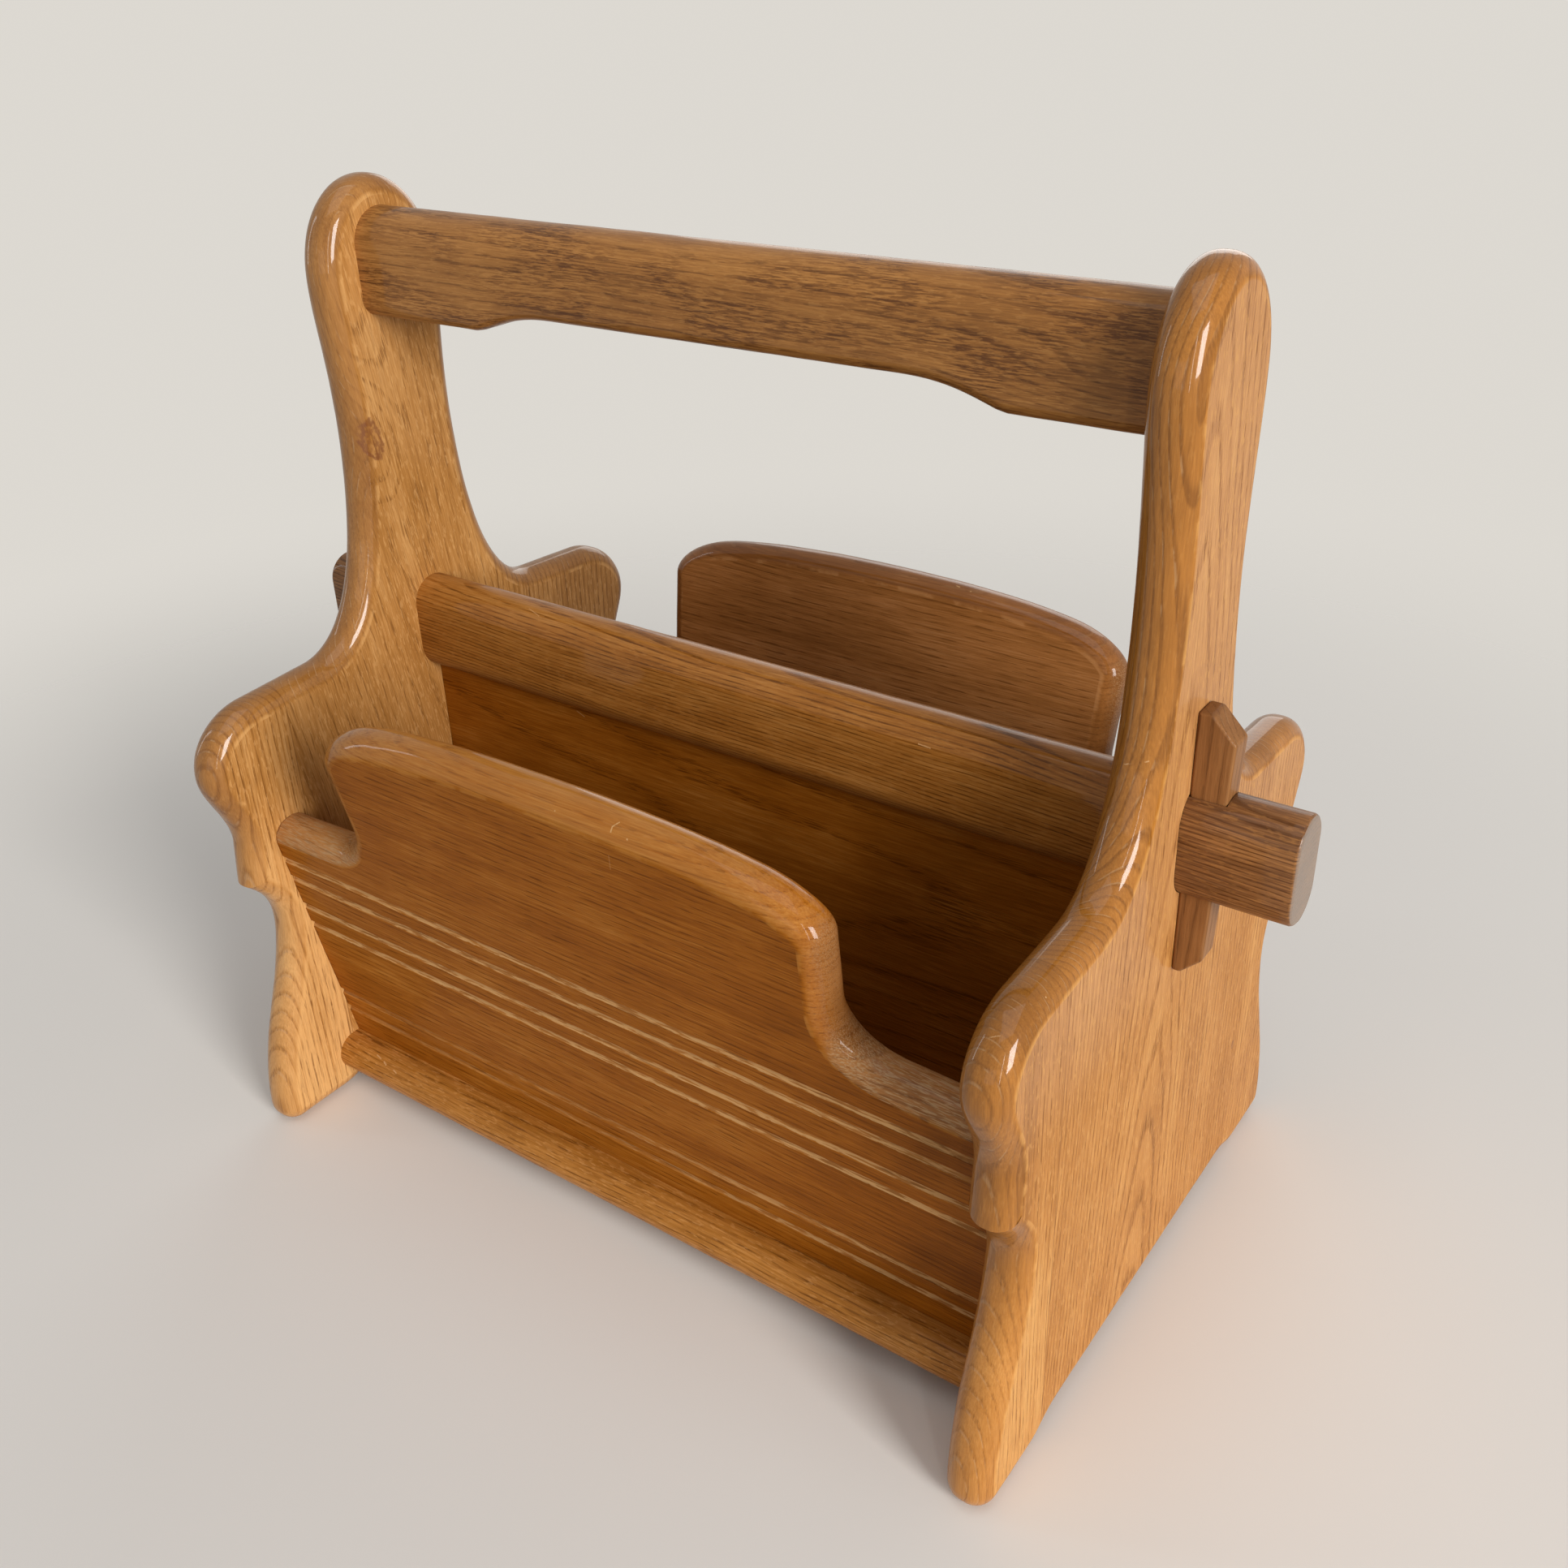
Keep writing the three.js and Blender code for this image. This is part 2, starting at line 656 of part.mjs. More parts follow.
function dowelBody(place, radius, length, chamfer) {
  const half = length / 2;
  const profile = [
    new THREE.Vector2(0, -half),
    new THREE.Vector2(radius - chamfer, -half),
    new THREE.Vector2(radius, -half + chamfer),
    new THREE.Vector2(radius, half - chamfer),
    new THREE.Vector2(radius - chamfer, half),
    new THREE.Vector2(0, half),
  ];
  const distinct = profile.filter((p, i) => i === 0 || !p.equals(profile[i - 1]));
  const middle = place.side * (panelInnerX + dowelInPanel - dowelLength / 2);
  const body = new THREE.LatheGeometry(distinct, dowelSides).rotateZ(-Math.PI / 2);
  return body.translate(middle, place.y, place.z);
}

function dowelHole(place) {
  return dowelBody(place, dowelDiameter / 2 + fitGap, dowelLength + 2 * fitGap, 0);
}

function dowelHolesIn(piece) {
  return dowelPlaces().filter((place) => place.piece === piece).map(dowelHole);
}

function dowels() {
  return dowelPlaces().map((place) => {
    const end = place.side < 0 ? 'left' : 'right';
    const body = dowelBody(place, dowelDiameter / 2, dowelLength, dowelChamfer);
    return namedMesh(`${place.piece}_dowel_${end}_${place.number}`, body, dowelColour);
  });
}

// Assembly

function namedMesh(name, geometry, colour) {
  const mesh = new THREE.Mesh(geometry, oak(colour));
  mesh.name = name;
  return mesh;
}

const frontBoard = troughBoard('front_board', 0);
const backBoard = troughBoard('back_board', backArchExtra);
backBoard.rotateZ(Math.PI);

const rack = new THREE.Group();
rack.add(...endPanel(-1, 'left_panel'), ...endPanel(1, 'right_panel'));
rack.add(handleBar(), centreRail(), wedgeKey(-1, 'left_key'), wedgeKey(1, 'right_key'));
rack.add(dividerPanel(), frontBoard, backBoard, bottomBoard());
rack.add(...dowels());

export default rack;
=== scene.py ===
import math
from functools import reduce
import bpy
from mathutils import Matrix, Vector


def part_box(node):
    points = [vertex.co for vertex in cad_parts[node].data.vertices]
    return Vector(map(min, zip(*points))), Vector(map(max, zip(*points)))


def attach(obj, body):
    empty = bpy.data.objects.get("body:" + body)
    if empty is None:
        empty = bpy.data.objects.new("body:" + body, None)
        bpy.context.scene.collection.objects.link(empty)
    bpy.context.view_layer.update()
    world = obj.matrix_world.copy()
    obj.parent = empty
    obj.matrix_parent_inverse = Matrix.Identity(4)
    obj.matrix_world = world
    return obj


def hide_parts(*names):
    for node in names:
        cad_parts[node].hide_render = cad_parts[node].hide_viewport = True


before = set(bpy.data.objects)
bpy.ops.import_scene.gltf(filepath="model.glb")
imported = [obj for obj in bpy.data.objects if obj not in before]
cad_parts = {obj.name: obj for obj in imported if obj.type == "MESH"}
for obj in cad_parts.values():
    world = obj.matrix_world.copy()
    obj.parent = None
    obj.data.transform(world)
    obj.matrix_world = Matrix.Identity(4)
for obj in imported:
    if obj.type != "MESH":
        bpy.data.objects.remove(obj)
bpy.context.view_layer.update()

# Oak magazine rack with a carrying handle, slanted trough boards and two loose wedge keys.
# Metres, +Z up, +X along the rack and -Y its front. Materials work in millimetres.
from types import SimpleNamespace

import bmesh
import bpy
from mathutils import Matrix, Vector, noise

MM = 0.001
QUARTER_TURN = math.pi / 2

# Places taken from the frame
front_stave_low, front_stave_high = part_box("right_panel_front_stave")
middle_stave_low, middle_stave_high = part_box("right_panel_middle_stave")
handle_low, handle_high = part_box("handle_bar")
rail_low, rail_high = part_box("centre_rail")
floor_low, floor_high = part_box("bottom_board")
key_low, key_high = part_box("right_key")
divider_low, divider_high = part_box("divider_panel")

PANEL_INNER_X = front_stave_low.x
PANEL_OUTER_X = front_stave_high.x
PANEL_THICKNESS = PANEL_OUTER_X - PANEL_INNER_X
PANEL_HEIGHT = middle_stave_high.z
FRONT_SEAM_Y = middle_stave_low.y
BACK_SEAM_Y = middle_stave_high.y
FOOT_HALF_DEPTH = -front_stave_low.y

# End panels
PANEL_EDGE_FLAT = 0.002
HEAD_DROP = 0.042
HEAD_HALF_DEPTH = 0.034
NECK_LENGTH = 0.060
NECK_HALF_DEPTH = 0.031
SHOULDER_RISE = 0.0025
SHOULDER_FLAT_DEPTH = 0.040
SHOULDER_ROUND_DEPTH = 0.031
LOBE_UPPER_HEIGHT = 0.0295
LOBE_INSET = 0.001
LOBE_LOWER_HEIGHT = 0.038
LOBE_ROOT_INSET = 0.0125
NOTCH_DROP_HEIGHT = 0.0225
NOTCH_TIP_INSET = 0.010
LEG_HOLLOW_HEIGHT = 0.027
LEG_WAIST_INSET = 0.0245
LEG_WAIST_HEIGHT = 0.112
ANKLE_INSET = 0.007
ANKLE_HEIGHT = 0.050
FOOT_CORNER_EASE_HEIGHT = 0.001
FOOT_CORNER_EASE_DEPTH = 0.0005
SOLE_LENGTH = 0.0265
ARCH_RUNOUT_DEPTH = 0.026
ARCH_HEIGHT = 0.005

# Carrying handle
HANDLE_LOWER_RADIUS = 0.007
FINGER_RECESS_DEPTH = 0.0085
FINGER_RECESS_RUNOUT = 0.046
FINGER_RECESS_CORNER_EASE = 0.16
LEFT_RECESS_END_LENGTH = 0.065
RIGHT_RECESS_END_LENGTH = 0.057
RECESS_EASE_POWER = 2.5

# Centre rail, tenons and keys
RAIL_TOP = 0.254
RAIL_DEPTH = 0.048
TENON_THICKNESS = 0.025
TENON_DEPTH = 0.045
TENON_TOP_DROP = 0.0005
TENON_CHAMFER = 0.0015
TENON_CHAMFER_BEND = 0.35
KEY_TIP_WIDTH = 0.0115
KEY_TOP_CHAMFER = 0.010
KEY_TIP_CHAMFER = 0.008
KEY_EDGE_EASE = 0.0012
KEY_SLOT_RELIEF = 0.003

# Slanted trough boards, with heights along the slope
TROUGH_LEAN = math.radians(10.7)
TROUGH_THICKNESS = 0.020
TROUGH_EDGE_FLAT = 0.002
NOSE_REVEAL = 0.014
LOW_SHOULDER_END_HEIGHT = 0.1365
LOW_SHOULDER_RISE = 0.002
LOW_SHOULDER_LENGTH = 0.041
HOLLOW_LENGTH = 0.0215
HOLLOW_RISE = 0.0215
EAR_OVERHANG = 0.002
EAR_RISE = 0.034
ARCH_CORNER_LENGTH = 0.0295
ARCH_CORNER_RISE = 0.0205
CROWN_RISE = 0.0065
BACK_ARCH_EXTRA = 0.0035
GROOVE_PAIR_HEIGHTS = (0.112, 0.082, 0.0225)
GROOVE_SPACING = 0.012
GROOVE_WIDTH = 0.0045
GROOVE_DEPTH = 0.002
DIVIDER_CORNER_SHARE = 1 / 6

# Ragged grooves: waves per metre, and how far they move the line, its lips and its depth
GROOVE_DRIFT = (40, 0.00025)
GROOVE_UPPER_LIP = (260, 0.0003)
GROOVE_LOWER_LIP = (300, 0.0004)
GROOVE_DEPTH_SHARE = 0.9
GROOVE_DEPTH_WAVE = (90, 0.15)

# Bezier handles, as shares of the run in depth and in height
CROWN_SHARES = ((0.55, 0), (1, 0.45))
NECK_TOP_SHARES = ((0, 0.33), (1, 0.63))
NECK_FLARE_SHARES = ((0, 0.44), (0.22, 0.96))
LOBE_TOP_SHARES = ((0.52, 0.02), (1, 0.46))
LOBE_UNDER_SHARES = ((0, 0.32), (1, 0.63))
LEG_HOLLOW_SHARES = ((0.6, 0.3), (1, 0.55))
LEG_SHARES = ((0, 0.29), (0.6, 0.68))
ANKLE_SHARES = ((0.5, 0.3), (1, 0.68))
FOOT_CORNER_SHARES = ((0, 0.55), (0.45, 1))
ARCH_RUNOUT_SHARES = ((0.5, 0), (0.5, 1))
BOARD_CROWN_SHARES = ((0.5, 0), (0.84, 0.5))
BOARD_EAR_SHARES = ((0.52, 0.14), (1, 0.55))
BOARD_HOLLOW_SHARES = ((0, 0.55), (0.45, 0.96))

# Mesh fineness and fit
POINT_SPACING = 0.0025
LEAST_CURVE_STEPS = 6
CURVE_SLACK = 1.2
ROUND_STEPS = 10
CORNER_STEPS = 10
STATION_SPACING = 0.004
FIT_GAP = 0.0003
OVERRUN = 0.002
MERGE_DISTANCE = 0.00001
CUT_TOLERANCE = 0.000001
DOWEL_SIDES = 24
BEVEL_SEGMENTS = 3
SHARP_ANGLE = math.radians(32)

# Hand-sanded unevenness of the rounded edges
WOBBLE_DEPTH = 0.00022
WOBBLE_LENGTH = 0.035
RIPPLE_DEPTH = 0.00006
RIPPLE_LENGTH = 0.009


# Outlines

class HalfOutline:
    """Walks down the right-hand half of an outline that mirrors about its first coordinate."""

    def __init__(self, x, y):
        self.points = [Vector((x, y))]

    def line(self, x, y, fine=False):
        start, end = self.points[-1], Vector((x, y))
        steps = max(1, round((end - start).length / POINT_SPACING)) if fine else 1
        self.points += [start.lerp(end, i / steps) for i in range(1, steps + 1)]

    def curve(self, x, y, shares):
        start, end = self.points[-1], Vector((x, y))
        run = end - start
        leave, arrive = [start + Vector((a * run.x, b * run.y)) for a, b in shares]
        steps = max(LEAST_CURVE_STEPS, round(run.length * CURVE_SLACK / POINT_SPACING))
        for i in range(1, steps + 1):
            t = i / steps
            s = 1 - t
            self.points.append(start * s**3 + leave * (3 * s * s * t) + arrive * (3 * s * t * t) + end * t**3)

    def mirrored(self):
        left = [Vector((-p.x, p.y)) for p in self.points[1:-1]]
        return self.points[::-1] + left


def inset_vectors(outline, is_rounded):
    """How far each point moves when the rounded edges move in by one."""
    count = len(outline)
    normals = []
    for i, p in enumerate(outline):
        along = (outline[(i + 1) % count] - p).normalized()
        normals.append(Vector((-along.y, along.x)))
    inward = []
    for i in range(count):
        n, m = normals[i - 1], normals[i]
        a, b = int(is_rounded((i - 1) % count)), int(is_rounded(i))
        if a == b:
            inward.append((n + m) * (a / (1 + n.dot(m))))
        else:
            det = n.x * m.y - n.y * m.x
            inward.append(Vector(((a * m.y - b * n.y) / det, (b * n.x - a * m.x) / det)))
    return inward


def panel_outline():
    lobe_half = FOOT_HALF_DEPTH - LOBE_INSET
    shoulder_half = lobe_half - SHOULDER_ROUND_DEPTH
    notch_tip_half = FOOT_HALF_DEPTH - NOTCH_TIP_INSET
    notch_tip_z = LEG_WAIST_HEIGHT + LEG_HOLLOW_HEIGHT
    lobe_root_z = notch_tip_z + NOTCH_DROP_HEIGHT
    lobe_z = lobe_root_z + LOBE_LOWER_HEIGHT
    shoulder_z = lobe_z + LOBE_UPPER_HEIGHT
    head_z = PANEL_HEIGHT - HEAD_DROP
    edge_radius = (PANEL_THICKNESS - PANEL_EDGE_FLAT) / 2
    corner_height = edge_radius + FOOT_CORNER_EASE_HEIGHT
    sole_start = FOOT_HALF_DEPTH - edge_radius - FOOT_CORNER_EASE_DEPTH
    sole_end = sole_start - SOLE_LENGTH
    half = HalfOutline(0, PANEL_HEIGHT)
    half.curve(HEAD_HALF_DEPTH, head_z, CROWN_SHARES)
    half.curve(NECK_HALF_DEPTH, head_z - NECK_LENGTH, NECK_TOP_SHARES)
    half.curve(shoulder_half - SHOULDER_FLAT_DEPTH, shoulder_z + SHOULDER_RISE, NECK_FLARE_SHARES)
    half.line(shoulder_half, shoulder_z, fine=True)
    half.curve(lobe_half, lobe_z, LOBE_TOP_SHARES)
    half.curve(FOOT_HALF_DEPTH - LOBE_ROOT_INSET, lobe_root_z, LOBE_UNDER_SHARES)
    half.line(notch_tip_half, notch_tip_z)
    half.curve(FOOT_HALF_DEPTH - LEG_WAIST_INSET, LEG_WAIST_HEIGHT, LEG_HOLLOW_SHARES)
    half.curve(FOOT_HALF_DEPTH - ANKLE_INSET, ANKLE_HEIGHT, LEG_SHARES)
    half.curve(FOOT_HALF_DEPTH, corner_height, ANKLE_SHARES)
    half.curve(sole_start, 0, FOOT_CORNER_SHARES)
    half.line(sole_end, 0, fine=True)
    half.curve(sole_end - ARCH_RUNOUT_DEPTH, ARCH_HEIGHT, ARCH_RUNOUT_SHARES)
    half.line(0, ARCH_HEIGHT, fine=True)
    return half.mirrored()


def trough_outline(arch_extra):
    shoulder_x = PANEL_INNER_X - LOW_SHOULDER_LENGTH
    shoulder_z = LOW_SHOULDER_END_HEIGHT + LOW_SHOULDER_RISE
    side_x = shoulder_x - HOLLOW_LENGTH
    side_z = shoulder_z + HOLLOW_RISE
    ear_x = side_x + EAR_OVERHANG
    ear_z = side_z + EAR_RISE + arch_extra
    top_z = ear_z + ARCH_CORNER_RISE
    skirt = TROUGH_THICKNESS * math.tan(TROUGH_LEAN) + OVERRUN
    half = HalfOutline(0, top_z + CROWN_RISE)
    half.curve(ear_x - ARCH_CORNER_LENGTH, top_z, BOARD_CROWN_SHARES)
    half.curve(ear_x, ear_z, BOARD_EAR_SHARES)
    half.line(side_x, side_z, fine=True)
    half.curve(shoulder_x, shoulder_z, BOARD_HOLLOW_SHARES)
    half.line(PANEL_INNER_X, LOW_SHOULDER_END_HEIGHT)
    half.line(PANEL_INNER_X, -skirt)
    half.line(0, -skirt)
    return half.mirrored()


# Mesh building

def join_rings(bm, rings):
    """Closes a row of vertex rings into one solid with flat ends."""
    count = len(rings[0])
    for low, high in zip(rings, rings[1:]):
        for i in range(count):
            j = (i + 1) % count
            bm.faces.new((low[i], low[j], high[j], high[i]))
    bm.faces.new(rings[0][::-1])
    bm.faces.new(rings[-1])


def rounded_board(outline, thickness, radius, is_rounded=lambda i: True):
    """A board with its outline in X and Y, its thickness along Z and its edges rounded over."""
    bm = bmesh.new()
    edge = bm.verts.layers.float.new("edge")
    inward = inset_vectors(outline, is_rounded)

    def ring(angle, sign):
        inset = radius * (1 - math.sin(angle))
        z = sign * (thickness / 2 - radius * (1 - math.cos(angle)))
        verts = [bm.verts.new((*(p + v * inset), z)) for p, v in zip(outline, inward)]
        for vert in verts:
            vert[edge] = math.sin(angle)
        return verts

    angles = [i / ROUND_STEPS * QUARTER_TURN for i in range(ROUND_STEPS + 1)]
    join_rings(bm, [ring(a, -1) for a in angles] + [ring(a, 1) for a in reversed(angles)])
    return bm


def bar_section(half_thickness, bottom, top, lower_radius, upper_radius):
    corners = (
        (half_thickness - lower_radius, bottom + lower_radius, lower_radius, -QUARTER_TURN),
        (half_thickness - upper_radius, top - upper_radius, upper_radius, 0),
        (upper_radius - half_thickness, top - upper_radius, upper_radius, QUARTER_TURN),
        (lower_radius - half_thickness, bottom + lower_radius, lower_radius, 2 * QUARTER_TURN),
    )
    section = []
    for y, z, radius, start in corners:
        for i in range(CORNER_STEPS + 1):
            angle = start + i / CORNER_STEPS * QUARTER_TURN
            section.append(Vector((y + radius * math.cos(angle), z + radius * math.sin(angle))))
    return section


def loft_along_x(stations):
    bm = bmesh.new()
    bm.verts.layers.float.new("edge")
    rings = [[bm.verts.new((x, p.x, p.y)) for p in section] for x, section in stations]
    join_rings(bm, rings)
    bmesh.ops.remove_doubles(bm, verts=bm.verts, dist=MERGE_DISTANCE)
    return bm


def span(start, end):
    steps = max(1, round(abs(end - start) / STATION_SPACING))
    return [start + (end - start) * i / steps for i in range(steps + 1)]


def box_between(low, high):
    bm = bmesh.new()
    bmesh.ops.create_cube(bm, size=1)
    middle, size = (low + high) / 2, high - low
    bm.transform(Matrix.LocRotScale(middle, None, size))
    return bm


def weather(bm, seed):
    """Small unevenness, as hand sanding leaves it, on verts that aren't on a flat face's border."""
    bm.normal_update()
    shift = Vector((seed, seed * 0.37, -seed))
    for vert in bm.verts:
        wave = noise.noise(vert.co / WOBBLE_LENGTH + shift) * WOBBLE_DEPTH
        wave += noise.noise(vert.co / RIPPLE_LENGTH - shift) * RIPPLE_DEPTH
        if len(vert.link_faces) and max(len(f.verts) for f in vert.link_faces) <= 4:
            vert.co -= vert.normal * abs(wave)


def keep_side(bm, place, outward):
    """Cuts away what lies past a plane and closes the cut."""
    geometry = bm.verts[:] + bm.edges[:] + bm.faces[:]
    cut = bmesh.ops.bisect_plane(
        bm, geom=geometry, dist=CUT_TOLERANCE, plane_co=place, plane_no=outward, clear_outer=True
    )
    edges = [e for e in cut["geom_cut"] if isinstance(e, bmesh.types.BMEdge)]
    bmesh.ops.edgenet_fill(bm, edges=edges)
    bmesh.ops.recalc_face_normals(bm, faces=bm.faces)


def new_object(name, bm):
    mesh = bpy.data.meshes.new(name)
    bmesh.ops.recalc_face_normals(bm, faces=bm.faces)
    bm.to_mesh(mesh)
    bm.free()
    piece = bpy.data.objects.new(name, mesh)
    bpy.context.scene.collection.objects.link(piece)
    return piece


def carve(piece, cutters):
    for cutter in cutters:
        modifier = piece.modifiers.new("cut", "BOOLEAN")
        modifier.operation = "DIFFERENCE"
        modifier.solver = "EXACT"
        modifier.object = cutter
    evaluated = piece.evaluated_get(bpy.context.evaluated_depsgraph_get())
    carved = bpy.data.meshes.new_from_object(evaluated)
    piece.modifiers.clear()
    piece.data = carved
    for cutter in cutters:
        bpy.data.objects.remove(cutter)


def finish_piece(piece, node, body, material, bevel=0.0):
    mesh = piece.data
    mesh.materials.clear()
    mesh.materials.append(material)
    for polygon in mesh.polygons:
        polygon.use_smooth = True
    mesh.set_sharp_from_angle(angle=SHARP_ANGLE)
    if bevel:
        soften = piece.modifiers.new("eased corners", "BEVEL")
        soften.width = bevel
        soften.segments = BEVEL_SEGMENTS
        soften.limit_method = "ANGLE"
        soften.angle_limit = SHARP_ANGLE
        soften.harden_normals = False
    weighted = piece.modifiers.new("face normals", "WEIGHTED_NORMAL")
    weighted.keep_sharp = not bevel
    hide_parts(node)
    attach(piece, body)


# Hidden pockets

def dowel_pockets(piece):
    cutters = []
    for node in sorted(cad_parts):
        if node.startswith(piece + "_dowel"):
            low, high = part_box(node)
            middle, size = (low + high) / 2, high - low
            radius = size.z / 2 + FIT_GAP
            bm = bmesh.new()
            bmesh.ops.create_cone(
                bm, cap_ends=True, segments=DOWEL_SIDES, radius1=radius, radius2=radius,
                depth=size.x + 2 * FIT_GAP,
            )
            bm.transform(Matrix.Translation(middle) @ Matrix.Rotation(QUARTER_TURN, 4, "Y"))
            cutters.append(new_object(node + "_pocket", bm))
    return cutters


def divider_pocket():
    gap = Vector([FIT_GAP] * 3)
    return new_object("divider_pocket", box_between(divider_low - gap, divider_high + gap))


# End panels

rail_tenon_top = RAIL_TOP - TENON_TOP_DROP
rail_tenon_bottom = rail_tenon_top - TENON_DEPTH


def tenon_section(inset):
    radius = TENON_THICKNESS / 2 - inset
    return bar_section(radius, rail_tenon_bottom + inset, rail_tenon_top - inset, radius, radius)


def mortise(side):
    middle = side * (PANEL_INNER_X + PANEL_OUTER_X) / 2
    reach = PANEL_THICKNESS / 2 + OVERRUN
    section = tenon_section(-FIT_GAP)
    return new_object("mortise", loft_along_x([(middle - reach, section), (middle + reach, section)]))


def end_panel(side, name, materials):
    board = rounded_board(panel_outline(), PANEL_THICKNESS, (PANEL_THICKNESS - PANEL_EDGE_FLAT) / 2)
    upright = Matrix(((0, 0, 1, 0), (1, 0, 0, 0), (0, 1, 0, 0), (0, 0, 0, 1)))
    board.transform(Matrix.Translation((side * (PANEL_INNER_X + PANEL_OUTER_X) / 2, 0, 0)) @ upright)
    weather(board, seed=3 + side)
    reach = 2 * FOOT_HALF_DEPTH
    staves = (
        ("front", -reach, FRONT_SEAM_Y),
        ("middle", FRONT_SEAM_Y, BACK_SEAM_Y),
        ("back", BACK_SEAM_Y, reach),
    )
    for (part, low, high), material in zip(staves, materials):
        bm = board.copy()
        if low > -reach:
            keep_side(bm, (0, low, 0), (0, -1, 0))
        if high < reach:
            keep_side(bm, (0, high, 0), (0, 1, 0))
        node = f"{name}_{part}_stave"
        piece = new_object(f"{name}_{part}", bm)
        cutters = [mortise(side), divider_pocket()] if part == "middle" else []
        for carried in ("handle", "front", "back", "floor"):
            cutters += dowel_pockets(carried)
        carve(piece, cutters)
        finish_piece(piece, node, "rack", material)
    board.free()


# Carrying handle

left_recess_end = LEFT_RECESS_END_LENGTH - PANEL_INNER_X
right_recess_end = PANEL_INNER_X - RIGHT_RECESS_END_LENGTH


def recess_at(x):
    """The recess starts steeply at each end and eases into its full depth."""
    past_end = min(x - left_recess_end, right_recess_end - x)
    share = min(1, max(0, past_end / FINGER_RECESS_RUNOUT))
    share *= share * (1 + FINGER_RECESS_CORNER_EASE) / (share + FINGER_RECESS_CORNER_EASE)
    return FINGER_RECESS_DEPTH * (1 - (1 - share) ** RECESS_EASE_POWER)


def handle_bar(material):
    half = (handle_high.y - handle_low.y) / 2
    places = span(-PANEL_INNER_X, left_recess_end)[:-1]
    places += span(left_recess_end, right_recess_end)[:-1]
    places += span(right_recess_end, PANEL_INNER_X)
    stations = []
    for x in places:
        bottom = handle_low.z + recess_at(x)
        stations.append((x, bar_section(half, bottom, handle_high.z, HANDLE_LOWER_RADIUS, half)))
    bm = loft_along_x(stations)
    weather(bm, seed=11)
    piece = new_object("handle", bm)
    carve(piece, dowel_pockets("handle"))
    finish_piece(piece, "handle_bar", "rack", material)


# Centre rail and keys

def key_width(z):
    share = (z - key_low.z) / (key_high.z - key_low.z)
    return KEY_TIP_WIDTH + share * (key_high.x - key_low.x - KEY_TIP_WIDTH)


def across_plate(side, outline, thickness):
    """A plate across Y whose outline goes out from an end panel's face and up."""
    bm = bmesh.new()
    bm.verts.layers.float.new("edge")
    rings = []
    for y in (-thickness / 2, thickness / 2):
        rings.append([bm.verts.new((side * (PANEL_OUTER_X + out), y, z)) for out, z in outline])
    join_rings(bm, rings)
    bmesh.ops.recalc_face_normals(bm, faces=bm.faces)
    return bm


def key_slot(side):
    low, high = rail_tenon_bottom - OVERRUN, rail_tenon_top + OVERRUN
    outline = (
        (-KEY_SLOT_RELIEF, low),
        (key_width(low) + FIT_GAP, low),
        (key_width(high) + FIT_GAP, high),
        (-KEY_SLOT_RELIEF, high),
    )
    return new_object("key_slot", across_plate(side, outline, key_high.y - key_low.y + 2 * FIT_GAP))


def centre_rail(material):
    radius = (rail_high.y - rail_low.y) / 2
    rail_section = bar_section(radius, RAIL_TOP - RAIL_DEPTH, RAIL_TOP, radius, radius)
    end_x = rail_high.x
    stations = []
    for side in (-1, 1):
        bend = TENON_CHAMFER * TENON_CHAMFER_BEND
        tenon = [(side * end_x, tenon_section(TENON_CHAMFER)), (side * (end_x - bend), tenon_section(bend))]
        tenon += [(side * x, tenon_section(0)) for x in span(end_x - TENON_CHAMFER, PANEL_INNER_X)]
        stations.append(tenon)
    middle = [(x, rail_section) for x in span(-PANEL_INNER_X, PANEL_INNER_X)]
    bm = loft_along_x(stations[0] + middle + stations[1][::-1])
    weather(bm, seed=17)
    piece = new_object("rail", bm)
    carve(piece, [key_slot(-1), key_slot(1), divider_pocket()])
    finish_piece(piece, "centre_rail", "rack", material)


def wedge_key(side, name, material):
    chamfer_low, chamfer_high = key_low.z + KEY_TIP_CHAMFER, key_high.z - KEY_TOP_CHAMFER
    outline = (
        (0, key_low.z),
        (KEY_TIP_WIDTH - KEY_TIP_CHAMFER, key_low.z),
        (key_width(chamfer_low), chamfer_low),
        (key_width(chamfer_high), chamfer_high),
        (key_width(key_high.z) - KEY_TOP_CHAMFER, key_high.z),
        (0, key_high.z),
    )
    piece = new_object(name + "_wedge", across_plate(side, outline, key_high.y - key_low.y))
    finish_piece(piece, name, name, material, bevel=KEY_EDGE_EASE)


# Trough boards, bottom board and divider

def lean_matrix():
    """Stands a flat board on the front edge of the bottom board, leaning outward."""
    up = Vector((0, -math.sin(TROUGH_LEAN), math.cos(TROUGH_LEAN)))
    outward = Vector((0, -math.cos(TROUGH_LEAN), -math.sin(TROUGH_LEAN)))
    foot = Vector((0, floor_low.y + NOSE_REVEAL, floor_high.z))
    matrix = Matrix((Vector((1, 0, 0)), up, outward)).transposed().to_4x4()
    matrix.translation = foot - outward * (TROUGH_THICKNESS / 2)
    return matrix


